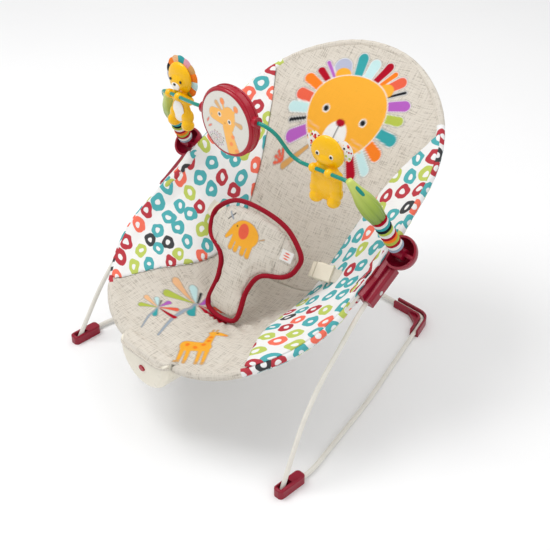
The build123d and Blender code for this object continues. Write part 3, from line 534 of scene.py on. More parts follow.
PETAL_FOOT, PETAL_REACH, PETAL_STAGGER, PETAL_RIM = 50, 100, 5, 1.6
PETALS = (                # angle, colour, half width at the tip
    (182, "coral", 9.5), (165, "orange", 9.5), (151, "crimson", 7), (141, "purple", 3.6),
    (127, "lavender", 15), (106, "teal", 9), (91, "pale", 9), (76, "crimson", 7.5), (65, "orange", 5),
    (53, "coral", 10), (41, "black", 2.8), (27, "purple", 9.5), (11, "lime", 8), (-7, "teal", 9),
    (-24, "orange", 9), (-38, "pale", 7), (-51, "crimson", 8), (219, "purple", 9), (206, "black", 2.9),
    (195, "pale", 8),
)
FRONDS = (                # colour, angle, length as a share of the palm's size
    ("lime", 214, 0.95), ("peach", 178, 1.0), ("pale", 146, 0.7), ("black", 124, 0.6),
    ("purple", 92, 0.75), ("coral", 48, 0.95), ("crimson", 10, 1.1), ("teal", -58, 0.55),
)


def lion_print(ink):
    """A plain lion's face in a fan of petals. Points are across and up the cloth from its centre."""
    for i, (angle, colour, wide) in enumerate(PETALS):
        reach = PETAL_REACH - wide + PETAL_STAGGER * (i % 2)
        for rim, tone in ((PETAL_RIM, "white"), (0, colour)):
            ink.fan((0, 0), [angle], PETAL_FOOT, reach, wide * 0.7 + rim, wide + rim, tone)
    for x in (-42, 42):
        ink.oval((x, 54), (14, 13), "yellow")
    ink.oval((0, 0), (70, 66), "white")
    ink.oval((0, 0), (68.5, 64.5), "yellow")
    for x in (-37, 37):
        ink.oval((x, -6), (6.5, 6.5), "white")
        ink.oval((x, -6), (4.6, 4.6), "black")
    for x in (-44, 44):
        for y in (-32, -39):
            ink.stroke((x - 12, y), (x + 12, y - 3), 0.9, 0.9, "peach")
    ink.oval((0, -38), (21, 23), "white")
    ink.oval((0, -17), (8.5, 5.5), "crimson")
    ink.stroke((0, -20), (0, -46), 0.9, 0.9, "black")
    for side in (-1, 1):
        ink.stroke((0, -46), (side * 7, -50), 0.9, 0.9, "black")
        ink.stroke((side * 7, -50), (side * 12, -42), 0.9, 0.9, "black")
    ink.stroke((-66, -96), (-38, -62), 5, 3, "tan")
    ink.fan((-70, -92), (120, 150, 180, 210), 2, 15, 1.5, 2.6, "coral")


def palm_print(ink, crown, foot, size):
    """Palm with a bent trunk. crown and foot are its two ends."""
    crown = np.array(crown, float)
    middle = (crown + np.array(foot)) / 2 + np.array((-0.10 * size, 0))
    ink.stroke(foot, middle, 0.035 * size, 0.06 * size, "slate")
    ink.stroke(middle, crown, 0.06 * size, 0.05 * size, "slate")
    for colour, angle, share in FRONDS:
        wide = size * (0.05 if colour == "black" else 0.15)
        ink.fan(crown, [angle], 0.12 * size, share * size, 0.03 * size, wide, colour)


def animal(ink, at, size, turn=0.0):
    """Strokes and ovals for an animal of a given size. at is where its own (0, 0) is, turn leans it."""
    c, s = cos(turn), sin(turn)

    def place(x, y):
        return np.array(at) + size * np.array((x * c - y * s, x * s + y * c))

    def stroke(a, b, start, end, colour):
        ink.stroke(place(*a), place(*b), start * size, end * size, colour)

    def oval(centre, radii, colour, lean=0.0):
        ink.oval(place(*centre), [r * size for r in radii], colour, lean)

    return stroke, oval


def giraffe_print(ink, at, size, turn):
    """Standing giraffe. at is between the feet, turn leans it."""
    stroke, oval = animal(ink, at, size, turn)
    for x in (-0.22, -0.10, 0.12, 0.24):
        stroke((x, 0), (x, 0.34), 0.035, 0.05, "yellow")
        stroke((x, 0), (x, 0.02), 0.036, 0.04, "tan")
    stroke((-0.17, 0.42), (0.18, 0.44), 0.13, 0.12, "yellow")
    stroke((0.18, 0.46), (0.20, 0.92), 0.09, 0.055, "yellow")
    stroke((0.18, 0.95), (0.42, 0.90), 0.085, 0.06, "yellow")
    for x in (0.14, 0.22):
        stroke((x, 1.0), (x, 1.12), 0.014, 0.026, "tan")
    for x, y in ((-0.16, 0.45), (0.0, 0.40), (0.13, 0.50), (0.19, 0.63), (0.19, 0.77)):
        oval((x, y), (0.045, 0.038), "orange", x * 9)
    oval((0.26, 0.96), (0.022, 0.022), "black")
    oval((0.43, 0.87), (0.03, 0.02), "coral")


def elephant_print(ink, at, size):
    """Walking elephant. at is the middle of its body."""
    stroke, oval = animal(ink, at, size)
    oval((0, 0), (0.50, 0.36), "yellow")
    for x in (-0.34, -0.14, 0.12, 0.32):
        stroke((x, -0.2), (x, -0.50), 0.085, 0.085, "yellow")
        oval((x, -0.55), (0.05, 0.02), "tan")
    stroke((-0.42, 0.02), (-0.62, -0.30), 0.12, 0.055, "yellow")
    oval((-0.08, 0.05), (0.19, 0.22), "coral")
    oval((-0.36, 0.10), (0.025, 0.025), "black")
    stroke((0.50, 0.02), (0.66, 0.12), 0.012, 0.02, "tan")


# ---- hoops and cloth surface -----------------------------------------------------------------------
def rounded(corners, bends, steps=14):
    """Polyline with its inner corners rounded: list of (half width, distance along the slope)."""
    points = [np.array(c, float) for c in corners]
    path = [points[0]]
    for before, corner, after, bend in zip(points, points[1:-1], points[2:], bends):
        into, out = (before - corner), (after - corner)
        into, out = into / np.linalg.norm(into), out / np.linalg.norm(out)
        half = np.arccos(np.clip(into @ out, -1, 1)) / 2
        reach = bend / tan(half)
        a, b = corner + into * reach, corner + out * reach
        centre = corner + (into + out) / np.linalg.norm(into + out) * (bend / sin(half))
        start, sweep = a - centre, pi - 2 * half
        way = np.sign(start[0] * (b - centre)[1] - start[1] * (b - centre)[0])
        for k in range(steps + 1):
            t = way * sweep * k / steps
            c, s = cos(t), sin(t)
            path.append(centre + np.array((start[0] * c - start[1] * s, start[0] * s + start[1] * c)))
    path.append(points[-1])
    return np.array(path)


def resample(path, step):
    """Even points along a path."""
    gaps = np.linalg.norm(np.diff(path, axis=0), axis=1)
    reach = np.concatenate(([0], np.cumsum(gaps)))
    at = np.linspace(0, reach[-1], max(2, int(reach[-1] / step) + 1))
    return np.stack([np.interp(at, reach, path[:, k]) for k in range(path.shape[1])], axis=1)


SEAT_LINE = resample(rounded(SEAT_HALF, BENDS), LINE_STEP)
BACK_LINE = resample(rounded(BACK_HALF, BACK_BENDS), LINE_STEP)


def plan(line, slope):
    """Hoop line seen from above: half width and depth."""
    return np.stack((line[:, 0], HUB_DEPTH + line[:, 1] * cos(slope)), axis=1)


SEAT_PLAN, BACK_PLAN = plan(SEAT_LINE, SEAT_SLOPE), plan(BACK_LINE, BACK_SLOPE)
HOOP_PLAN = np.concatenate((SEAT_PLAN[::-1], BACK_PLAN))


def hoop_half(depth):
    """Half width between the hoop wires at a depth."""
    line = BACK_PLAN if depth > HUB_DEPTH else SEAT_PLAN[::-1]
    return float(np.interp(depth, line[:, 1], line[:, 0]))


def plane_height(depth):
    """Height of the hoops' middle line at a depth."""
    slope = BACK_SLOPE if depth > HUB_DEPTH else SEAT_SLOPE
    return HUB_HEIGHT + (depth - HUB_DEPTH) * tan(slope)


def swell(depth, low, front, back):
    """Share of the drop: 1 at the lowest depth, falling to 0 at both ends."""
    end = back if depth > low else front
    return cos(min(1.0, (depth - low) / (end - low)) * pi / 2) ** 2


def seam_half(depth):
    """Half width between the two long seams at a depth."""
    end, half = SEAM_BACK if depth > SEAM_DEPTH else SEAM_FRONT
    return SEAM_HALF + (half - SEAM_HALF) * ((depth - SEAM_DEPTH) / (end - SEAM_DEPTH)) ** 2


def seam_height(depth):
    """Height of the long seams, which sag below the hoops."""
    return plane_height(depth) - SEAM_DROP * swell(depth, SEAM_LOW, SEAM_FRONT[0], SEAM_BACK[0])


def middle_height(depth):
    """Height of the sling's middle line."""
    return plane_height(depth) - SLING_DROP * swell(depth, SLING_LOW, FRONT_DEPTH, SLING_BACK)


def sewn_edge(depth):
    """Half width and height of the middle panel's edge."""
    hem = hoop_half(depth)
    if SEAM_FRONT[0] < depth < SEAM_BACK[0] and seam_half(depth) < hem - SEAM_MERGE:
        return seam_half(depth), seam_height(depth)
    return hem, plane_height(depth)


def smooth_step(share):
    """Share from 0 to 1, level at both ends."""
    share = np.clip(share, 0, 1)
    return share * share * (3 - 2 * share)


def hub_share(along):
    """1 beside the hub's lug, falling to 0 along the hoops."""
    return smooth_step(1.6 - np.abs(along) / HUB_REACH)


def hem_lift(points, chunk=4000):
    """How far the cloth rises over the hoop wire, by its distance from it."""
    near = np.full(len(points), 1e9)
    for line in (HOOP_PLAN, HOOP_PLAN * np.array((-1, 1))):
        for start in range(0, len(points), chunk):
            part = points[start:start + chunk, None]
            gaps = np.hypot(part[..., 0] - line[None, :, 0], part[..., 1] - line[None, :, 1])
            near[start:start + chunk] = np.minimum(near[start:start + chunk], gaps.min(axis=1))
    outside = np.abs(points[:, 0]) > HUB_SIDE_X
    rise = HEM_R + (HUB_HEM_R - HEM_R) * hub_share(points[:, 1] - HUB_DEPTH) * outside
    return rise * smooth_step(1 - near / HEM_REACH)


def folds(x, depth):
    """Soft waves of hanging cloth, gathered where the crotch strap is sewn, and pleats beside it."""
    broad = 1.3 * np.sin(x / 31 + depth / 47) * np.sin(depth / 38 - x / 90)
    broad += 0.7 * np.sin(x / 17 - depth / 29)
    away = np.hypot(x * 0.8, depth - GATHER_DEPTH)
    turn = np.arctan2(depth - GATHER_DEPTH, x)
    rays = np.sin(turn * 13 + 1.2 * np.sin(turn * 3))
    gather = 2.1 * np.exp(-(away / GATHER_REACH) ** 2) * rays * smooth_step(away / 16)
    (mid_x, mid_depth), (wide, deep) = PLEATS_AT, PLEATS_REACH
    pleated = np.exp(-((x - mid_x) / wide) ** 2 - ((depth - mid_depth) / deep) ** 2)
    pleats = 2.4 * pleated * np.sin((depth + 0.55 * x) / 4.2 + np.sin(x / 13))
    return broad + gather + pleats


def pucker(distance, along):
    """Small ripples beside a sewn seam, and the valley of the seam itself."""
    ripple = 0.55 * np.sin(along / 2.1 + 1.5 * np.sin(along / 23)) * np.exp(-distance / 9)
    return ripple - 1.5 * np.exp(-(distance / 2.2) ** 2)


def spread(start, end, step):
    """Depths from start to end, closer together at the rounded end of the hoop."""
    count = int(abs(end - start) / step)
    share = np.arange(count + 1) / count
    return start + (end - start) * np.sin(share * pi / 2) ** 0.92


def cloth_row(across, length):
    """Flat cloth coordinates in metres of one row of points."""
    return np.stack((across * MM, np.full(len(across), length * MM), np.zeros(len(across))), axis=1)


def lengths(depths, height):
    """Length of cloth from the first depth to each depth, along a line of heights."""
    heights = [height(depth) for depth in depths]
    return np.concatenate(([0], np.cumsum(np.hypot(np.diff(depths), np.diff(heights)))))


def lined_cloth(name, points, faces, outer, attributes, offset):
    """Cloth with a white lining on its underside."""
    made = add_object(name, row(points), faces, [outer, "lining"], attributes)
    modifier(made, "SOLIDIFY", thickness=CLOTH_THICK * MM, offset=offset, material_offset=1,
             material_offset_rim=0)
    return made


def middle_cloth(name, depths, ink_maker, columns=170):
    """Middle panel between the seams over a run of depths."""
    points, coords = [], []
    k = np.linspace(-1, 1, columns)
    for depth, length in zip(depths, lengths(depths, middle_height)):
        half, edge = sewn_edge(depth)
        low = middle_height(depth)
        across = half * k
        seam = half * (1 - np.abs(k))
        sewn = 1.0 if half < hoop_half(depth) - 3 else 0.0
        z = low + (edge - low) * k * k
        z = z + folds(across, np.full(columns, depth)) * smooth_step(seam / 22) + sewn * pucker(seam, length)
        width = np.concatenate(([0], np.cumsum(np.hypot(np.diff(across), np.diff(z)))))
        points.append(np.stack((across, np.full(columns, depth), z), axis=1))
        coords.append(cloth_row(width - width[-1] / 2, length))
    points = np.concatenate(points)
    points[:, 2] += hem_lift(points)
    ink = Ink(points[:, :2])
    ink_maker(ink)
    cover_unit(points)
    attributes = {"cloth": np.concatenate(coords), "ink": ink.colours}
    return lined_cloth(name, points, grid_faces(len(depths), columns), "linen", attributes, -1)


def flap_front(x):
    """Depth of the flap's front edge, which curves back at its corners."""
    return FLAP_FRONT + FLAP_CORNER * np.clip(np.abs(x) / NOTCH_HALF, 0, 1) ** 7


def cover_unit(points):
    """Draw the front of the cloth forward over the vibration unit."""
    share = np.clip((NOTCH_DEPTH - points[:, 1]) / (NOTCH_DEPTH - FRONT_DEPTH), 0, 1)
    over = smooth_step((NOTCH_HALF + 3 - np.abs(points[:, 0])) / 5) * (share > 0)
    top = plane_height(FRONT_DEPTH) + FLAP_RISE - FLAP_ROLL * smooth_step((share - 0.72) / 0.28) ** 2
    ramp = smooth_step(share / 0.22) * over
    points[:, 2] = points[:, 2] * (1 - ramp) + top * ramp
    front = flap_front(points[:, 0])
    points[:, 1] = points[:, 1] * (1 - over) + (NOTCH_DEPTH + (front - NOTCH_DEPTH) * share) * over


def seat_design(ink):
    """Two palms and a giraffe, by half width and depth on the seat."""
    palm_print(ink, (-40, 90), (-14, -4), 46)
    palm_print(ink, (-60, 34), (-45, -10), 28)
    giraffe_print(ink, (64, -14), 78, radians(32))


def back_design(ink):
    """The lion around a point of the back, stretched along its slope."""
    centre, stretch = (-2, 368), (1.0, 1.42)
    local = Ink((ink.points - np.array(centre)) * np.array(stretch))
    lion_print(local)
    ink.colours = local.colours


def side_cloth(side, label, columns=46):
    """Ring-printed side panel from the seam up to the hoop."""
    depths = np.arange(SEAM_FRONT[0] + 2, SEAM_BACK[0] - 1, 1.9)
    depths = [d for d in depths if seam_half(d) < hoop_half(d) - 2]
    points, coords = [], []
    k = np.linspace(0, 1, columns)
    for depth, length in zip(depths, lengths(depths, plane_height)):
        inner = np.array((seam_half(depth), seam_height(depth)))
        outer = np.array((hoop_half(depth), plane_height(depth)))
        width = np.linalg.norm(outer - inner)
        bow = np.sin(pi * k) * min(1, width / 90)
        x = inner[0] + (outer[0] - inner[0]) * k - 3.0 * bow
        z = inner[1] + (outer[1] - inner[1]) * k
        wave = 1.2 * np.sin(depth / 33 + 2 * k) * bow + 0.8 * np.sin(depth / 14 - 4 * k) * bow
        z = z + 2.5 * bow + wave * 0.6 + pucker(width * k, length)
        points.append(np.stack((x, np.full(columns, depth), z), axis=1))
        coords.append(cloth_row(width * (1 - k), length))
    points, coords = np.concatenate(points), np.concatenate(coords)
    points[:, 2] += hem_lift(points)
    points[:, 0] *= side
    coords[:, 0] += 0.5 + 0.33 * (side < 0)
    faces = grid_faces(len(depths), columns)
    if side < 0:
        faces = [f[::-1] for f in faces]
    return lined_cloth(label + "_side_cloth", points, faces, "rings", {"cloth": coords}, 1)


def hem_ring(x, along, run, slope, length, side):
    """Ring of points around the hoop wire, their flat coordinates, and whether it has the ring print."""
    out = Vector((run[1], -run[0] * cos(slope), -run[0] * sin(slope)))
    if out.x * x < 0 or (abs(x) < 60 and out.y * along < 0):
        out = -out
    up = Vector((0, -sin(slope), cos(slope)))
    centre = Vector((x, HUB_DEPTH + along * cos(slope), HUB_HEIGHT + along * sin(slope)))
    radius = HEM_R + (HUB_HEM_R - HEM_R) * float(hub_share(along))
    points, coords = [], []
    for turn in turns(HEM_SIDES):
        crease = 1 + HEM_CREASE * sin(length / 3.1) * sin(turn * 2)
        p = centre + out * (radius * crease * cos(turn)) + up * (radius * crease * sin(turn))
        if abs(along) < HUB_CLAMP:
            p.x = max(-HUB_FACE_X, min(HUB_FACE_X, p.x))
        points.append((p.x * side, p.y, p.z))
        coords.append((radius * turn * MM + 0.5, length * MM, 0))
    return points, coords, abs(x) > END_HALF and RINGS_FROM < centre.y < RINGS_TO


def hem_tube(name, line, slope, notch=0.0, side=1):
    """Cloth rolled around a hoop wire, ring print at the sides and linen at the end."""
    path = line[line[:, 0] > notch]
    if notch == 0:
        path = np.concatenate((path, path[::-1] * np.array((-1, 1))))
    points, coords, ringed = [], [], []
    length = 0.0
    for i, (x, along) in enumerate(path):
        before, after = path[max(i - 1, 0)], path[min(i + 1, len(path) - 1)]
        run = (after - before) / np.linalg.norm(after - before)
        length += np.linalg.norm(path[i] - before)
        ring, flat, printed = hem_ring(x, along, run, slope, length, side)
        points += ring
        coords += flat
        ringed.append(printed)
    faces = grid_faces(len(path), HEM_SIDES, wrap=True)
    picks = [int(not ringed[f[0] // HEM_SIDES]) for f in faces]
    if side < 0:
        faces = [f[::-1] for f in faces]
    return add_object(name, row(points), faces, ["rings", "linen_hem"], {"cloth": coords}, picks)


def sling():
    """Seat, back, two ring-printed sides, the hems around the hoops and the flap's piping."""
    seat = middle_cloth("seat_cloth", spread(HUB_DEPTH, FRONT_DEPTH, 1.35)[::-1], seat_design)
    finish_piece(seat, "seat", "linen_cloth", "seat_panel")
    back = middle_cloth("back_cloth", spread(HUB_DEPTH, CROWN_DEPTH, 1.15), back_design)
    finish_piece(back, "seat", "linen_cloth", "back_panel")
    for side, label in SIDES:
        cloth = side_cloth(side, label)
        finish_piece(cloth, "seat", "ring_cloth", label + "_side_panel")
    for side, label in SIDES:
        hem = hem_tube(label + "_seat_hem_roll", SEAT_LINE, SEAT_SLOPE, NOTCH_HALF, side)
        finish_piece(hem, "seat", "white_hem", *(["seat_hem"] if side > 0 else []))
    crown = hem_tube("back_hem_roll", BACK_LINE, BACK_SLOPE)
    finish_piece(crown, "seat", "white_hem", "back_hem")
    lip = plane_height(FRONT_DEPTH) + FLAP_RISE - FLAP_ROLL - 1.4
    piping = [(x, flap_front(x) - 0.4, lip) for x in np.linspace(-NOTCH_HALF + 1, NOTCH_HALF - 1, 60)]
    edge = tube("flap_piping", row(piping), PIPING_R * MM, "linen_hem")
    finish_piece(edge, "seat", "linen_cloth")

# ---- waist pad --------------------------------------------------------------------------------------
PAD_UP = Vector((0, PAD_TOP[0] - PAD_FOOT[0], PAD_TOP[1] - PAD_FOOT[1])).normalized()
PAD_OUT = Vector((1, 0, 0)).cross(PAD_UP)


def pad_place(x, up, out=0.0):
    """A point of the pad: across, up from its foot, and off its front face."""
    wrap = 9.0 * max(0.0, (abs(x) - 34) / 56) ** 2
    crest = 4.0 * cos(min(1.0, abs(x) / 60) * pi / 2)
    p = Vector((x, *PAD_FOOT)) + PAD_UP * up + PAD_OUT * (out - wrap + crest)
    return (p.x, p.y, p.z)


def pad_outline():
    """Smooth closed outline of the pad, a spline through its points."""
    right = [np.array(p, float) for p in PAD_OUTLINE]
    loop = right + [p * np.array((-1, 1)) for p in reversed(right[:-1])]
    count, points = len(loop), []
    for i in range(count):
        a, b, c, d = (loop[(i + k) % count] for k in (-1, 0, 1, 2))
        for t in np.linspace(0, 1, 9)[:-1]:
            square, cube = 2 * a - 5 * b + 4 * c - d, 3 * b - a - 3 * c + d
            points.append(0.5 * (2 * b + (c - a) * t + square * t ** 2 + cube * t ** 3))
    return np.array(points)


def pad_shell(outline):
    """Flat closed cushion with an even mesh."""
    shape = bmesh.new()
    inset = outline * 0.97 + np.array((0, 2.4))
    loop = [shape.verts.new((x * MM, y * MM, -PAD_SKIN / 2 * MM)) for x, y in inset]
    face = shape.faces.new(loop)
    lifted = bmesh.ops.extrude_face_region(shape, geom=[face])["geom"]
    for vert in (g for g in lifted if isinstance(g, bmesh.types.BMVert)):
        vert.co.z += PAD_SKIN * MM
    bmesh.ops.recalc_face_normals(shape, faces=shape.faces)
    pad = from_shape("waist_pad_cloth", shape)
    modifier(pad, "REMESH", mode="VOXEL", voxel_size=PAD_VOXEL)
    return frozen(pad)


def blow_up(pad):
    """Cloth pressure fills the pad; a cap keeps it near its shape."""
    rest = corners_of(pad)
    cloth = pad.modifiers.new("cloth", "CLOTH")
    cloth.settings.use_pressure = True
    cloth.settings.uniform_pressure_force = 4.0
    cloth.settings.effector_weights.gravity = 0
    cloth.settings.tension_stiffness = 15
    cloth.settings.bending_stiffness = 0.6
    for step in range(1, 21):
        bpy.context.scene.frame_set(step)
    frozen(pad)
    shift = corners_of(pad) - rest
    far = np.maximum(np.linalg.norm(shift, axis=1, keepdims=True), 1e-9)
    pad.data.vertices.foreach_set("co", (rest + shift * np.minimum(1, PAD_PUFF / far)).ravel())
    bpy.context.scene.frame_set(1)


def waist_pad():
    """Quilted pad with a printed front, a crimson binding and a tag."""
    outline = pad_outline()
    pad = pad_shell(outline)
    blow_up(pad)
    modifier(pad, "SUBSURF", levels=2, render_levels=2)
    frozen(pad)
    flat = corners_of(pad) / MM
    x, y, z = flat.T
    quilt = 1.3 * np.exp(-((np.abs(x) - QUILT_X) / 2.2) ** 2) * (y > QUILT_FROM)
    out = z - np.sign(z) * quilt
    out += 0.5 * np.sin(x / 13 + y / 19) + 0.4 * np.sin(y / 7 - x / 25)
    ink = Ink(flat[:, :2])
    pad_design(ink)
    ink.colours[z < 0, 3] = 0
    places = [pad_place(*point) for point in zip(x, y, out)]
    pad.data.vertices.foreach_set("co", row(places).ravel())
    set_attributes(pad.data, {"cloth": np.stack((x * MM, y * MM, z * 0), axis=1), "ink": ink.colours})
    dress(pad, "pad")
    finish_piece(pad, "seat", "pad_cloth", "waist_pad")
    pad_trim(outline)
    care_tag()


def pad_design(ink):
    elephant_print(ink, (-4, 124), 54)
    ink.stroke((-46, 132), (-37, 144), 0.8, 1.2, "black")
    ink.stroke((-48, 143), (-36, 136), 1.2, 1.2, "slate")


def pad_trim(outline):
    """Crimson binding around the pad and a line of stitches along each quilted line."""
    front = tuple(PAD_OUT)
    edge = [pad_place(x, y) for x, y in outline]
    binding = tube("pad_binding", row(edge), BINDING_R * MM, "binding", 14, closed=True, flat=BINDING_FLAT,
                   normal=front)
    finish_piece(binding, "seat", "pad_cloth")
    for side in (-1, 1):
        stitch = [pad_place(side * QUILT_X, y, 5.0) for y in np.linspace(STITCH_FROM, STITCH_TO, 24)]
        line = tube(f"quilt_stitch_{side + 1}", row(stitch), STITCH_R * MM, "thread", 6, normal=front)
        finish_piece(line, "seat", "pad_cloth")


def care_tag():
    """Small sewn tag with a plain printed dot pattern."""
    points, flat = [], []
    for v in np.linspace(-1, 1, TAG_GRID):
        for u in np.linspace(-1, 1, TAG_GRID):
            x, y = TAG_HALF[0] * u, TAG_HALF[1] * v
            points.append(pad_place(TAG_AT[0] + x, TAG_AT[1] + y, 6.6 + 0.3 * sin(3 * u) * cos(2 * v)))
            flat.append((x, y))
    ink = Ink(flat, 0.9)
    ink.lay(-np.ones(len(flat)) * 9, "white")
    for k in range(3):
        ink.oval((0, 4 - 4 * k), (5.2 - 1.2 * abs(k - 1), 1.1), "coral")
    cloth = np.array([(x * MM, y * MM, 0) for x, y in flat])
    attributes = {"cloth": cloth, "ink": ink.colours}
    tag = add_object("pad_tag", row(points), grid_faces(TAG_GRID, TAG_GRID), ["pad"], attributes)
    modifier(tag, "SOLIDIFY", thickness=0.0006, offset=1)
    finish_piece(tag, "seat", "pad_cloth")


# ---- toy bar ----------------------------------------------------------------------------------------
def bar_point(x, along, ahead=0.0):
    """A point of the leaning plane of the toy bar."""
    y, z = cos(ARM_LEAN), sin(ARM_LEAN)
    return Vector((x, CUP[1] + y * along - z * ahead, CUP[2] + z * along + y * ahead))


def arm_point(along, side):
    """A point on the middle line of an arm, which leans inwards from its cup to the rod's end."""
    p = bar_point(CUP[0] + (ROD_HALF - CUP[0]) * along / ARM_LENGTH, along)
    return Vector((p.x * side, p.y, p.z))


def turned(base, axis, profile, sides, shape):
    """Surface of revolution about a line. profile: (distance along, radius). shape(turn, share) scales it."""
    side = axis.cross(Vector((0, 1, 0))).normalized()
    up = axis.cross(side)
    points, marks = [], []
    for i, (along, radius) in enumerate(profile):
        share = i / (len(profile) - 1)
        for turn in turns(sides):
            grow = shape(turn, share)
            p = base + axis * along + (side * cos(turn) + up * sin(turn)) * (radius * grow)
            points.append(tuple(p))
            marks.append((share, 1 - grow))
    faces = grid_faces(len(profile), sides, wrap=True)
    last = (len(profile) - 1) * sides
    faces += [tuple(range(sides))[::-1], tuple(range(last, last + sides))]
    return points, faces, marks


def bud_rib(turn, share):
    """Overlapping leaves: grooves that fade towards the tip."""
    wave = abs(sin(turn * 3.5 + 1.6 * share))
    return 1 - 0.13 * (1 - wave) ** 3 * (1 - share) - 0.05 * (1 - abs(sin(turn * 7))) ** 4 * (1 - share)


def band_wobble(turn, share):
    """Slightly uneven rings of soft cloth."""
    return 1 + 0.018 * sin(turn * 2 + share * 31) + 0.012 * sin(turn * 5 - share * 47)


def jersey(order):
    """Jersey materials for a row of colours: their names, and each colour's place among them."""
    names = list(dict.fromkeys("band_" + colour for colour in order))
    for name in names:
        colour = name.removeprefix("band_")
        if name not in MAT:
            MAT[name] = plain_cloth("jersey_" + colour, PRINT[colour], 0.0008, 0.9)
    return names, [names.index("band_" + colour) for colour in order]


def arm_sleeve(side, label):
    """Striped jersey arm: stacked soft bands from the bud down to the cup."""
    names, tones = jersey(("crimson", "white", "teal", "black", "lime", "white", "crimson", "orange",
                           "lime", "crimson", "white", "slate"))
    start, end = SLEEVE
    axis = (arm_point(end, side) - arm_point(start, side)).normalized()
    steps = BAND_STEPS * len(tones)
    profile = []
    for i in range(steps + 1):
        wide = 0.5 - 0.5 * cos(2 * pi * i / BAND_STEPS)
        uneven = 0.5 * sin((i // BAND_STEPS) * 2.4 + (1 if side > 0 else 4))
        radius = SLEEVE_R - BAND_DEEP + (BAND_DEEP + uneven) * wide ** 0.6
        profile.append(((start - end) * i / steps, radius))
    points, faces, _ = turned(arm_point(end, side), axis, profile, SLEEVE_SIDES, band_wobble)
    picks = [tones[min(f[0] // SLEEVE_SIDES // BAND_STEPS, len(tones) - 1)] for f in faces]
    sleeve = add_object(label + "_arm_bands", row(points), faces, names, picks=picks)
    finish_piece(sleeve, "toy_bar", "striped_cloth", label + "_arm_sleeve")


def arm_bud(side, label):
    """Lime bud that leans outwards at the top of the sleeve."""
    lean = bar_point(CUP[0] + (ROD_HALF - CUP[0]) / ARM_LENGTH - sin(BUD_LEAN), 1) - bar_point(CUP[0], 0)
    axis = Vector((lean.x * side, lean.y, lean.z)).normalized()
    share = np.linspace(0, 1, 40)
    radius = np.interp(share, np.linspace(0, 1, len(BUD_RADII)), BUD_RADII)
    for _ in range(6):
        radius[1:-1] = (radius[:-2] + 2 * radius[1:-1] + radius[2:]) / 4
    profile = [(BUD_LENGTH * s, r) for s, r in zip(share, radius)]
    points, faces, marks = turned(arm_point(SLEEVE[1], side), axis, profile, BUD_SIDES, bud_rib)
    # pod attribute: share along the bud, and the groove depth that sets the painted shade in the grooves
    grooves = {"pod": [(along, min(1, groove_shade * 7), 0) for along, groove_shade in marks]}
    pod = add_object(label + "_bud_leaves", row(points), faces, ["bud"], grooves)
    finish_piece(pod, "toy_bar", "lime_plastic", label + "_bud")


def arms():
    for side, label in SIDES:
        arm_sleeve(side, label)
        arm_bud(side, label)


def band_wobble(turn, share):
    return 1 + 0.018 * sin(turn * 2 + share * 31) + 0.012 * sin(turn * 5 - share * 47)


def joint_frame(name, plumb=True):
    """Matrix of a toy on the rod: x along the rod, z up, -y towards the child's feet."""
    joint = JOINTS[name]
    run = Vector(joint["axis"])
    if run.x < 0:
        run = -run
    if plumb:
        run.z = 0
    run.normalize()
    up = (Vector((0, 0, 1)) - run * run.z).normalized()
    back = up.cross(run)
    turn = Matrix((run, back, up)).transposed().to_4x4()
    return Matrix.Translation(Vector(joint["pos_m"])) @ turn


def in_place(place, points):
    """Points in a toy's own millimetres to the scene, in metres."""
    return [place @ (Vector(p) * MM) for p in points]


def printed_face(name, side, design, place):
    """Domed label of the spinner. side is -1 in front and 1 behind."""
    points, flat = [(0, side * (FACE_Y + FACE_DOME), 0)], [(0, 0)]
    for r in np.linspace(FACE_R / FACE_RINGS, FACE_R, FACE_RINGS):
        dome = FACE_DOME * (1 - (r / FACE_R) ** 4)
        for turn in turns(FACE_SIDES):
            points.append((r * cos(turn), side * (FACE_Y + dome), r * sin(turn)))
            flat.append((r * cos(turn), r * sin(turn)))
    faces = [(0, 1 + k, 1 + (k + 1) % FACE_SIDES) for k in range(FACE_SIDES)]
    faces += [tuple(v + 1 for v in f) for f in grid_faces(FACE_RINGS, FACE_SIDES, wrap=True)]
    if side > 0:
        faces = [f[::-1] for f in faces]
    ink = Ink(flat, 1.1)
    design(ink)
    disc = add_object(f"spinner_{name}_print", in_place(place, points), faces, ["face"], {"ink": ink.colours})
    modifier(disc, "SOLIDIFY", thickness=0.0012, offset=-1)
    finish_piece(disc, "spinner", "print_face", f"spinner_{name}_face")


def spinner():
    """Printed labels and the two rounded ridges of the turning disc."""
    place = joint_frame("spinner_spin", plumb=False) @ Matrix.Translation((0, 0, -DISC_DROP * MM))
    printed_face("front", -1, giraffe_face, place)
    printed_face("rear", 1, flower_face, place)
    across = tuple(place.to_3x3() @ Vector((0, 1, 0)))
    reach = DISC_R + 0.1
    for i, y in enumerate((-RIDGE_Y, RIDGE_Y)):
        loop = in_place(place, [(reach * cos(turn), y, reach * sin(turn)) for turn in turns(96)])
        ridge = tube(f"spinner_ridge_{i}", loop, RIDGE_R * MM, "crimson_bright", 10, closed=True,
                     normal=across)
        finish_piece(ridge, "spinner", "crimson_plastic")


def flower_face(ink):
    """Twelve yellow petals around a coral middle."""
    ink.fan((0, 0), range(0, 360, 30), 16, 34, 1.5, 4.5, "yellow")
    ink.oval((0, 0), (11, 11), "coral")


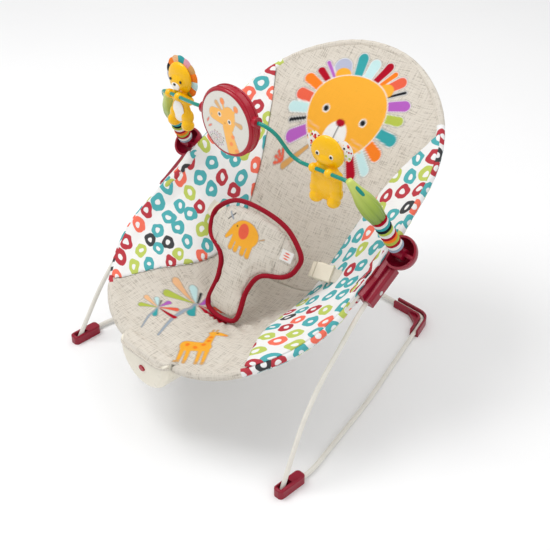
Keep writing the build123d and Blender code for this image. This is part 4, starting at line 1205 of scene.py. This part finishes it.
def giraffe_face(ink):
    """A plain giraffe looking up from the lower edge."""
    ink.stroke((12, -46), (3, -6), 12, 8, "yellow")
    ink.stroke((-20, 10), (8, 6), 9.5, 13, "yellow")
    ink.stroke((6, -2), (10, 14), 11, 11, "yellow")
    for a, b in (((2, 16), (-1, 31)), ((16, 13), (24, 24))):
        ink.stroke(a, b, 2.0, 1.6, "yellow")
        ink.oval(b, (4.2, 5.0), "orange", 0.3)
    ink.stroke((20, 4), (30, 1), 2.2, 4.0, "tan")
    ink.stroke((-6, 19), (-13, 27), 2.2, 3.6, "tan")
    for at in ((-9, 11), (9, 3)):
        ink.oval(at, (3.4, 3.6), "white")
        ink.oval(at, (2.2, 2.4), "black")
    for at in ((13, -18), (8, -29), (17, -38)):
        ink.oval(at, (3.6, 3.0), "orange", 0.5)
    ink.oval((-25, 8), (1.4, 1.9), "tan")
    for i in range(44):
        turn, reach = i * 2.4, 1.9 * i ** 0.5
        spot = (-20 + 1.15 * reach * cos(turn), -27 + 0.95 * reach * sin(turn))
        ink.oval(spot, (1.0, 1.0), ("crimson", "pink", "black", "purple")[i % 4])
    for at, turn in (((-34, -2), 0.9), ((-31, -10), 0.5)):
        ink.oval(at, (4.5, 1.6), "coral", turn)


def figure(name, balls, place, body):
    """Moulded figure: ovals melted into one skin. balls: (centre, radii) in toy millimetres."""
    shape = bmesh.new()
    for centre, radii in balls:
        matrix = Matrix.Translation(Vector(centre) * MM) @ Matrix.Diagonal((*(r * MM for r in radii), 1))
        bmesh.ops.create_icosphere(shape, subdivisions=4, radius=1, matrix=matrix)
    made = from_shape(name, shape)
    modifier(made, "REMESH", mode="VOXEL", voxel_size=FIGURE_VOXEL)
    modifier(made, "SMOOTH", factor=0.5, iterations=5)
    frozen(made)
    made.data.transform(place)
    dress(made, "yellow")
    finish_piece(made, body, "yellow_plastic", body + "_body")


def pebble(name, at, radii, place, material, body):
    """Small painted or inlaid detail, a slightly squared oval. at: across, ahead of the body's middle, up."""
    rows, sides = 14, 28
    centre = np.array((at[0], TOY_BACK - at[1], at[2]))
    points = []
    for i in range(rows + 1):
        rise = pi * i / rows
        for turn in turns(sides):
            raw = np.array((sin(rise) * cos(turn), cos(rise), sin(rise) * sin(turn)))
            points.append(centre + np.sign(raw) * np.abs(raw) ** 0.92 * radii)
    made = add_object(name, in_place(place, points), grid_faces(rows + 1, sides, wrap=True), [material])
    welded = bmesh.new()
    welded.from_mesh(made.data)
    bmesh.ops.remove_doubles(welded, verts=welded.verts, dist=1e-6)
    bmesh.ops.recalc_face_normals(welded, faces=welded.faces)
    welded.to_mesh(made.data)
    welded.free()
    finish_piece(made, body, "yellow_plastic")


def cushion(name, point, sides, rings, place, materials, picks=None):
    """Two domed layers of cloth that meet at their rim.

    point(share, turn, layer) is in toy millimetres. picks(k) is the material at place k of a ring.
    """
    points = []
    for layer in (-1, 1):
        for i in range(rings + 1):
            points += [point(i / rings, turn, layer) for turn in turns(sides)]
    front = grid_faces(rings + 1, sides, wrap=True)
    back = [tuple(v + (rings + 1) * sides for v in f[::-1]) for f in front]
    if picks:
        picks = [picks(f[0] % sides) for f in front] * 2
    return add_object(name, in_place(place, points), front + back, materials, picks=picks)


def toy_place(name, yaw):
    """Toy frame with the figure turned a little on its loose grip."""
    middle = Matrix.Translation((0, TOY_BACK * MM, 0))
    return joint_frame(name) @ middle @ Matrix.Rotation(yaw, 4, "Z") @ middle.inverted()


def toy_limbs(hand_rise, wide, yaw):
    """Arms that reach to the rod, and feet."""
    balls = []
    back = Matrix.Rotation(-yaw, 3, "Z")
    for side in (-1, 1):
        shoulder = Vector((side * 18, TOY_BACK, -7))
        hand = back @ Vector((side * 15, -TOY_BACK, side * 15 * hand_rise)) + Vector((0, TOY_BACK, 0))
        for t in np.linspace(0, 1, 5):
            balls.append((tuple(shoulder.lerp(hand, t)), (6.6, 6.8, 6.6)))
        balls.append(((side * 14, TOY_BACK - 2, -47), (9.5, 10, 8)))
        balls.append(((side * 15, TOY_BACK - 5, -45), (8, 7.5, 9)))
        balls.append(((side * (wide - 8), TOY_BACK, -34), (10, 9, 12)))
    return balls


def toy(label, yaw, wide, ovals):
    """A figure on its joint. ovals: (across, ahead of the body's middle, up), radii."""
    place = toy_place(label + "_swing", yaw)
    balls = [((x, TOY_BACK - ahead, up), radii) for (x, ahead, up), radii in ovals]
    balls += toy_limbs(slope_of(label + "_swing"), wide, yaw)
    figure(label + "_figure", balls, place, label + "_toy")
    return place


def lion_toy():
    """Yellow lion with a pale belly and muzzle, and a cloth mane."""
    place = toy("lion", radians(16), 20, (
        ((0, 0, 24), (23.5, 7, 24)), ((0, 3, 18), (17, 7, 14)), ((0, 0, -10), (17, 6.5, 20)),
        ((0, 0, -28), (19.5, 7, 20)), ((0, 0, 4), (12, 6.5, 14))))
    pebble("lion_belly", (0, 6.4, -26), (11.5, 1.6, 16.5), place, "white", "lion_toy")
    pebble("lion_muzzle", (0, 9.4, 14), (8.0, 2.2, 5.8), place, "white", "lion_toy")
    pebble("lion_nose", (0, 11.3, 17.4), (2.6, 1.2, 1.9), place, "black", "lion_toy")
    for side in (-1, 1):
        pebble(f"lion_eye_{side + 1}", (side * 10.5, 9.2, 23), (2.1, 1.0, 2.3), place, "black", "lion_toy")
    mane(place)


def mane(place):
    """Padded fabric ruff in differently coloured wedges."""
    names, tones = jersey(("orange", "tan", "pink", "teal", "peach", "orange", "black", "lavender",
                           "lime", "coral", "pale", "lime", "orange", "pale"))

    def point(share, turn, layer):
        wedge = abs(sin(turn * len(tones) / 2))
        r = (RUFF_INNER + RUFF_WIDE * share) * (1 + 0.035 * wedge * share)
        puff = layer * RUFF_PUFF * (1 - share ** 3) * (0.75 + 0.25 * wedge)
        return (r * cos(turn), TOY_BACK + RUFF_BACK + puff, RUFF_UP + r * sin(turn))

    ruff = cushion("lion_ruff", point, len(tones) * WEDGE_SIDES, 16, place, names,
                   lambda k: tones[k // WEDGE_SIDES])
    finish_piece(ruff, "lion_toy", "toy_cloth", "lion_toy_mane")


def cub_toy():
    """Rounder yellow cub with ringed eyes and cloth ears."""
    place = toy("cub", radians(11), 24, (
        ((0, 0, 26), (23, 7.5, 21)), ((-10, 0, 22), (16, 7.5, 18)), ((10, 0, 22), (16, 7.5, 18)),
        ((0, 3, 14), (15, 7, 9)), ((0, 0, -8), (21, 8, 20)), ((0, 0, -27), (24, 8, 22)),
        ((-15, 0, -22), (10, 8, 20)), ((15, 0, -22), (10, 8, 20))))
    for side in (-1, 1):
        eye = side * 11
        pebble(f"cub_eye_ring_{side + 1}", (eye, 7.3, 22), (3.3, 1.0, 3.5), place, "cream", "cub_toy")
        pebble(f"cub_eye_{side + 1}", (eye, 8.3, 22), (1.9, 0.8, 2.1), place, "black", "cub_toy")
    for side in (-1, 1):
        cub_ear(place, side)


def cub_ear(place, side):
    """Padded round ear of printed cotton."""
    def point(share, turn, layer):
        r = 0.2 + EAR_R * share * (1 + 0.03 * sin(5 * turn))
        puff = layer * EAR_PUFF * (1 - share ** 3)
        x, z = side * EAR_AT[0] + r * cos(turn), EAR_AT[1] + 1.15 * r * sin(turn)
        return (x, TOY_BACK + RUFF_BACK + puff, z)

    ear = cushion(f"cub_ear_{side + 1}", point, 48, 12, place, ["floral"])
    finish_piece(ear, "cub_toy", "toy_cloth", *(["cub_toy_ears"] if side > 0 else []))


def slope_of(name):
    """How steeply the rod rises to the right at a toy's joint."""
    axis = Vector(JOINTS[name]["axis"])
    if axis.x < 0:
        axis = -axis
    return axis.z / hypot(axis.x, axis.y)


# ---- CAD pieces that only get a finish ------------------------------------------------------------
def pair(*names):
    """Names of the parts that are on both sides."""
    return [f"{side}_{name}" for name in names for side in ("left", "right")]


FINISH = {
    "wire": ("floor_frame_wire", "seat_hoop_wire", "back_hoop_wire", *pair("leg_wire")),
    "crimson": pair("front_foot", "rear_bracket", "hub", "bar_pivot"),
    "crimson_bright": ("spinner_rim", "vibration_button"),
    "grip": pair("front_grip"),
    "cream": ("vibration_front_shell", "vibration_rear_shell", "battery_door"),
    "buckle": pair("buckle_socket", "buckle_plug", "rear_release_tab", "front_release_tab"),
    "webbing": pair("waist_webbing"),
    "steel": ("hub_screws", "battery_door_screw", "battery_contacts", "eccentric_weight", "vibration_motor"),
    "cell": ("battery_cell",),
    "board": ("switch_board",),
    "teal": ("toy_bar_rod",),
}


def finish_cad():
    """Give the CAD pieces their materials."""
    for material, nodes in FINISH.items():
        for name in nodes:
            node = frame["nodes"][name]
            if not node.material_slots:
                node.data.materials.append(MAT[material])
            for slot in node.material_slots:
                slot.link = "OBJECT"
                slot.material = MAT[material]


# ---- room, light and camera ------------------------------------------------------------------------
def studio():
    """Pale paper floor, even sky and three soft lights."""
    corners = [(x * FLOOR_HALF, y * FLOOR_HALF, 0) for x, y in ((-1, -1), (1, -1), (1, 1), (-1, 1))]
    floor = add_object("studio_floor", corners, [(0, 1, 2, 3)], [])
    paper = Material("studio_paper", Roughness=0.9)
    cloud = paper.noise(paper.place(), 3, 2)
    paper.paint(paper.mix(cloud, rgba((0.92, 0.92, 0.925)), rgba((0.95, 0.95, 0.95))))
    floor.data.materials.append(paper.data)
    world = bpy.data.worlds.new("studio")
    world.use_nodes = True
    sky = world.node_tree.nodes["Background"]
    sky.inputs["Color"].default_value = (1.0, 1.0, 1.0, 1)
    sky.inputs["Strength"].default_value = SKY_STRENGTH
    bpy.context.scene.world = world
    for name, at, power, wide in LIGHTS:
        light = bpy.data.lights.new(name, "AREA")
        light.energy, light.size = power, wide
        lamp = linked(name, light)
        lamp.location = at
        lamp.rotation_euler = (Vector(LIGHT_AIM) - Vector(at)).to_track_quat("-Z", "Y").to_euler()
    bpy.context.scene.view_settings.view_transform = "Standard"


def camera():
    """The viewing angle: 45.5 degrees round to the right, 35.5 degrees down."""
    data = bpy.data.cameras.new("camera")
    data.lens, data.sensor_width = LENS, SENSOR
    eye = linked("camera", data)
    eye.location = Vector(CAMERA_AT) + Vector((0, TOE_Y * MM, 0))
    eye.rotation_euler = (CAMERA_TILT, 0, CAMERA_TURN)
    bpy.context.scene.camera = eye


camera()
studio()
finish_cad()
sling()
waist_pad()
arms()
spinner()
lion_toy()
cub_toy()
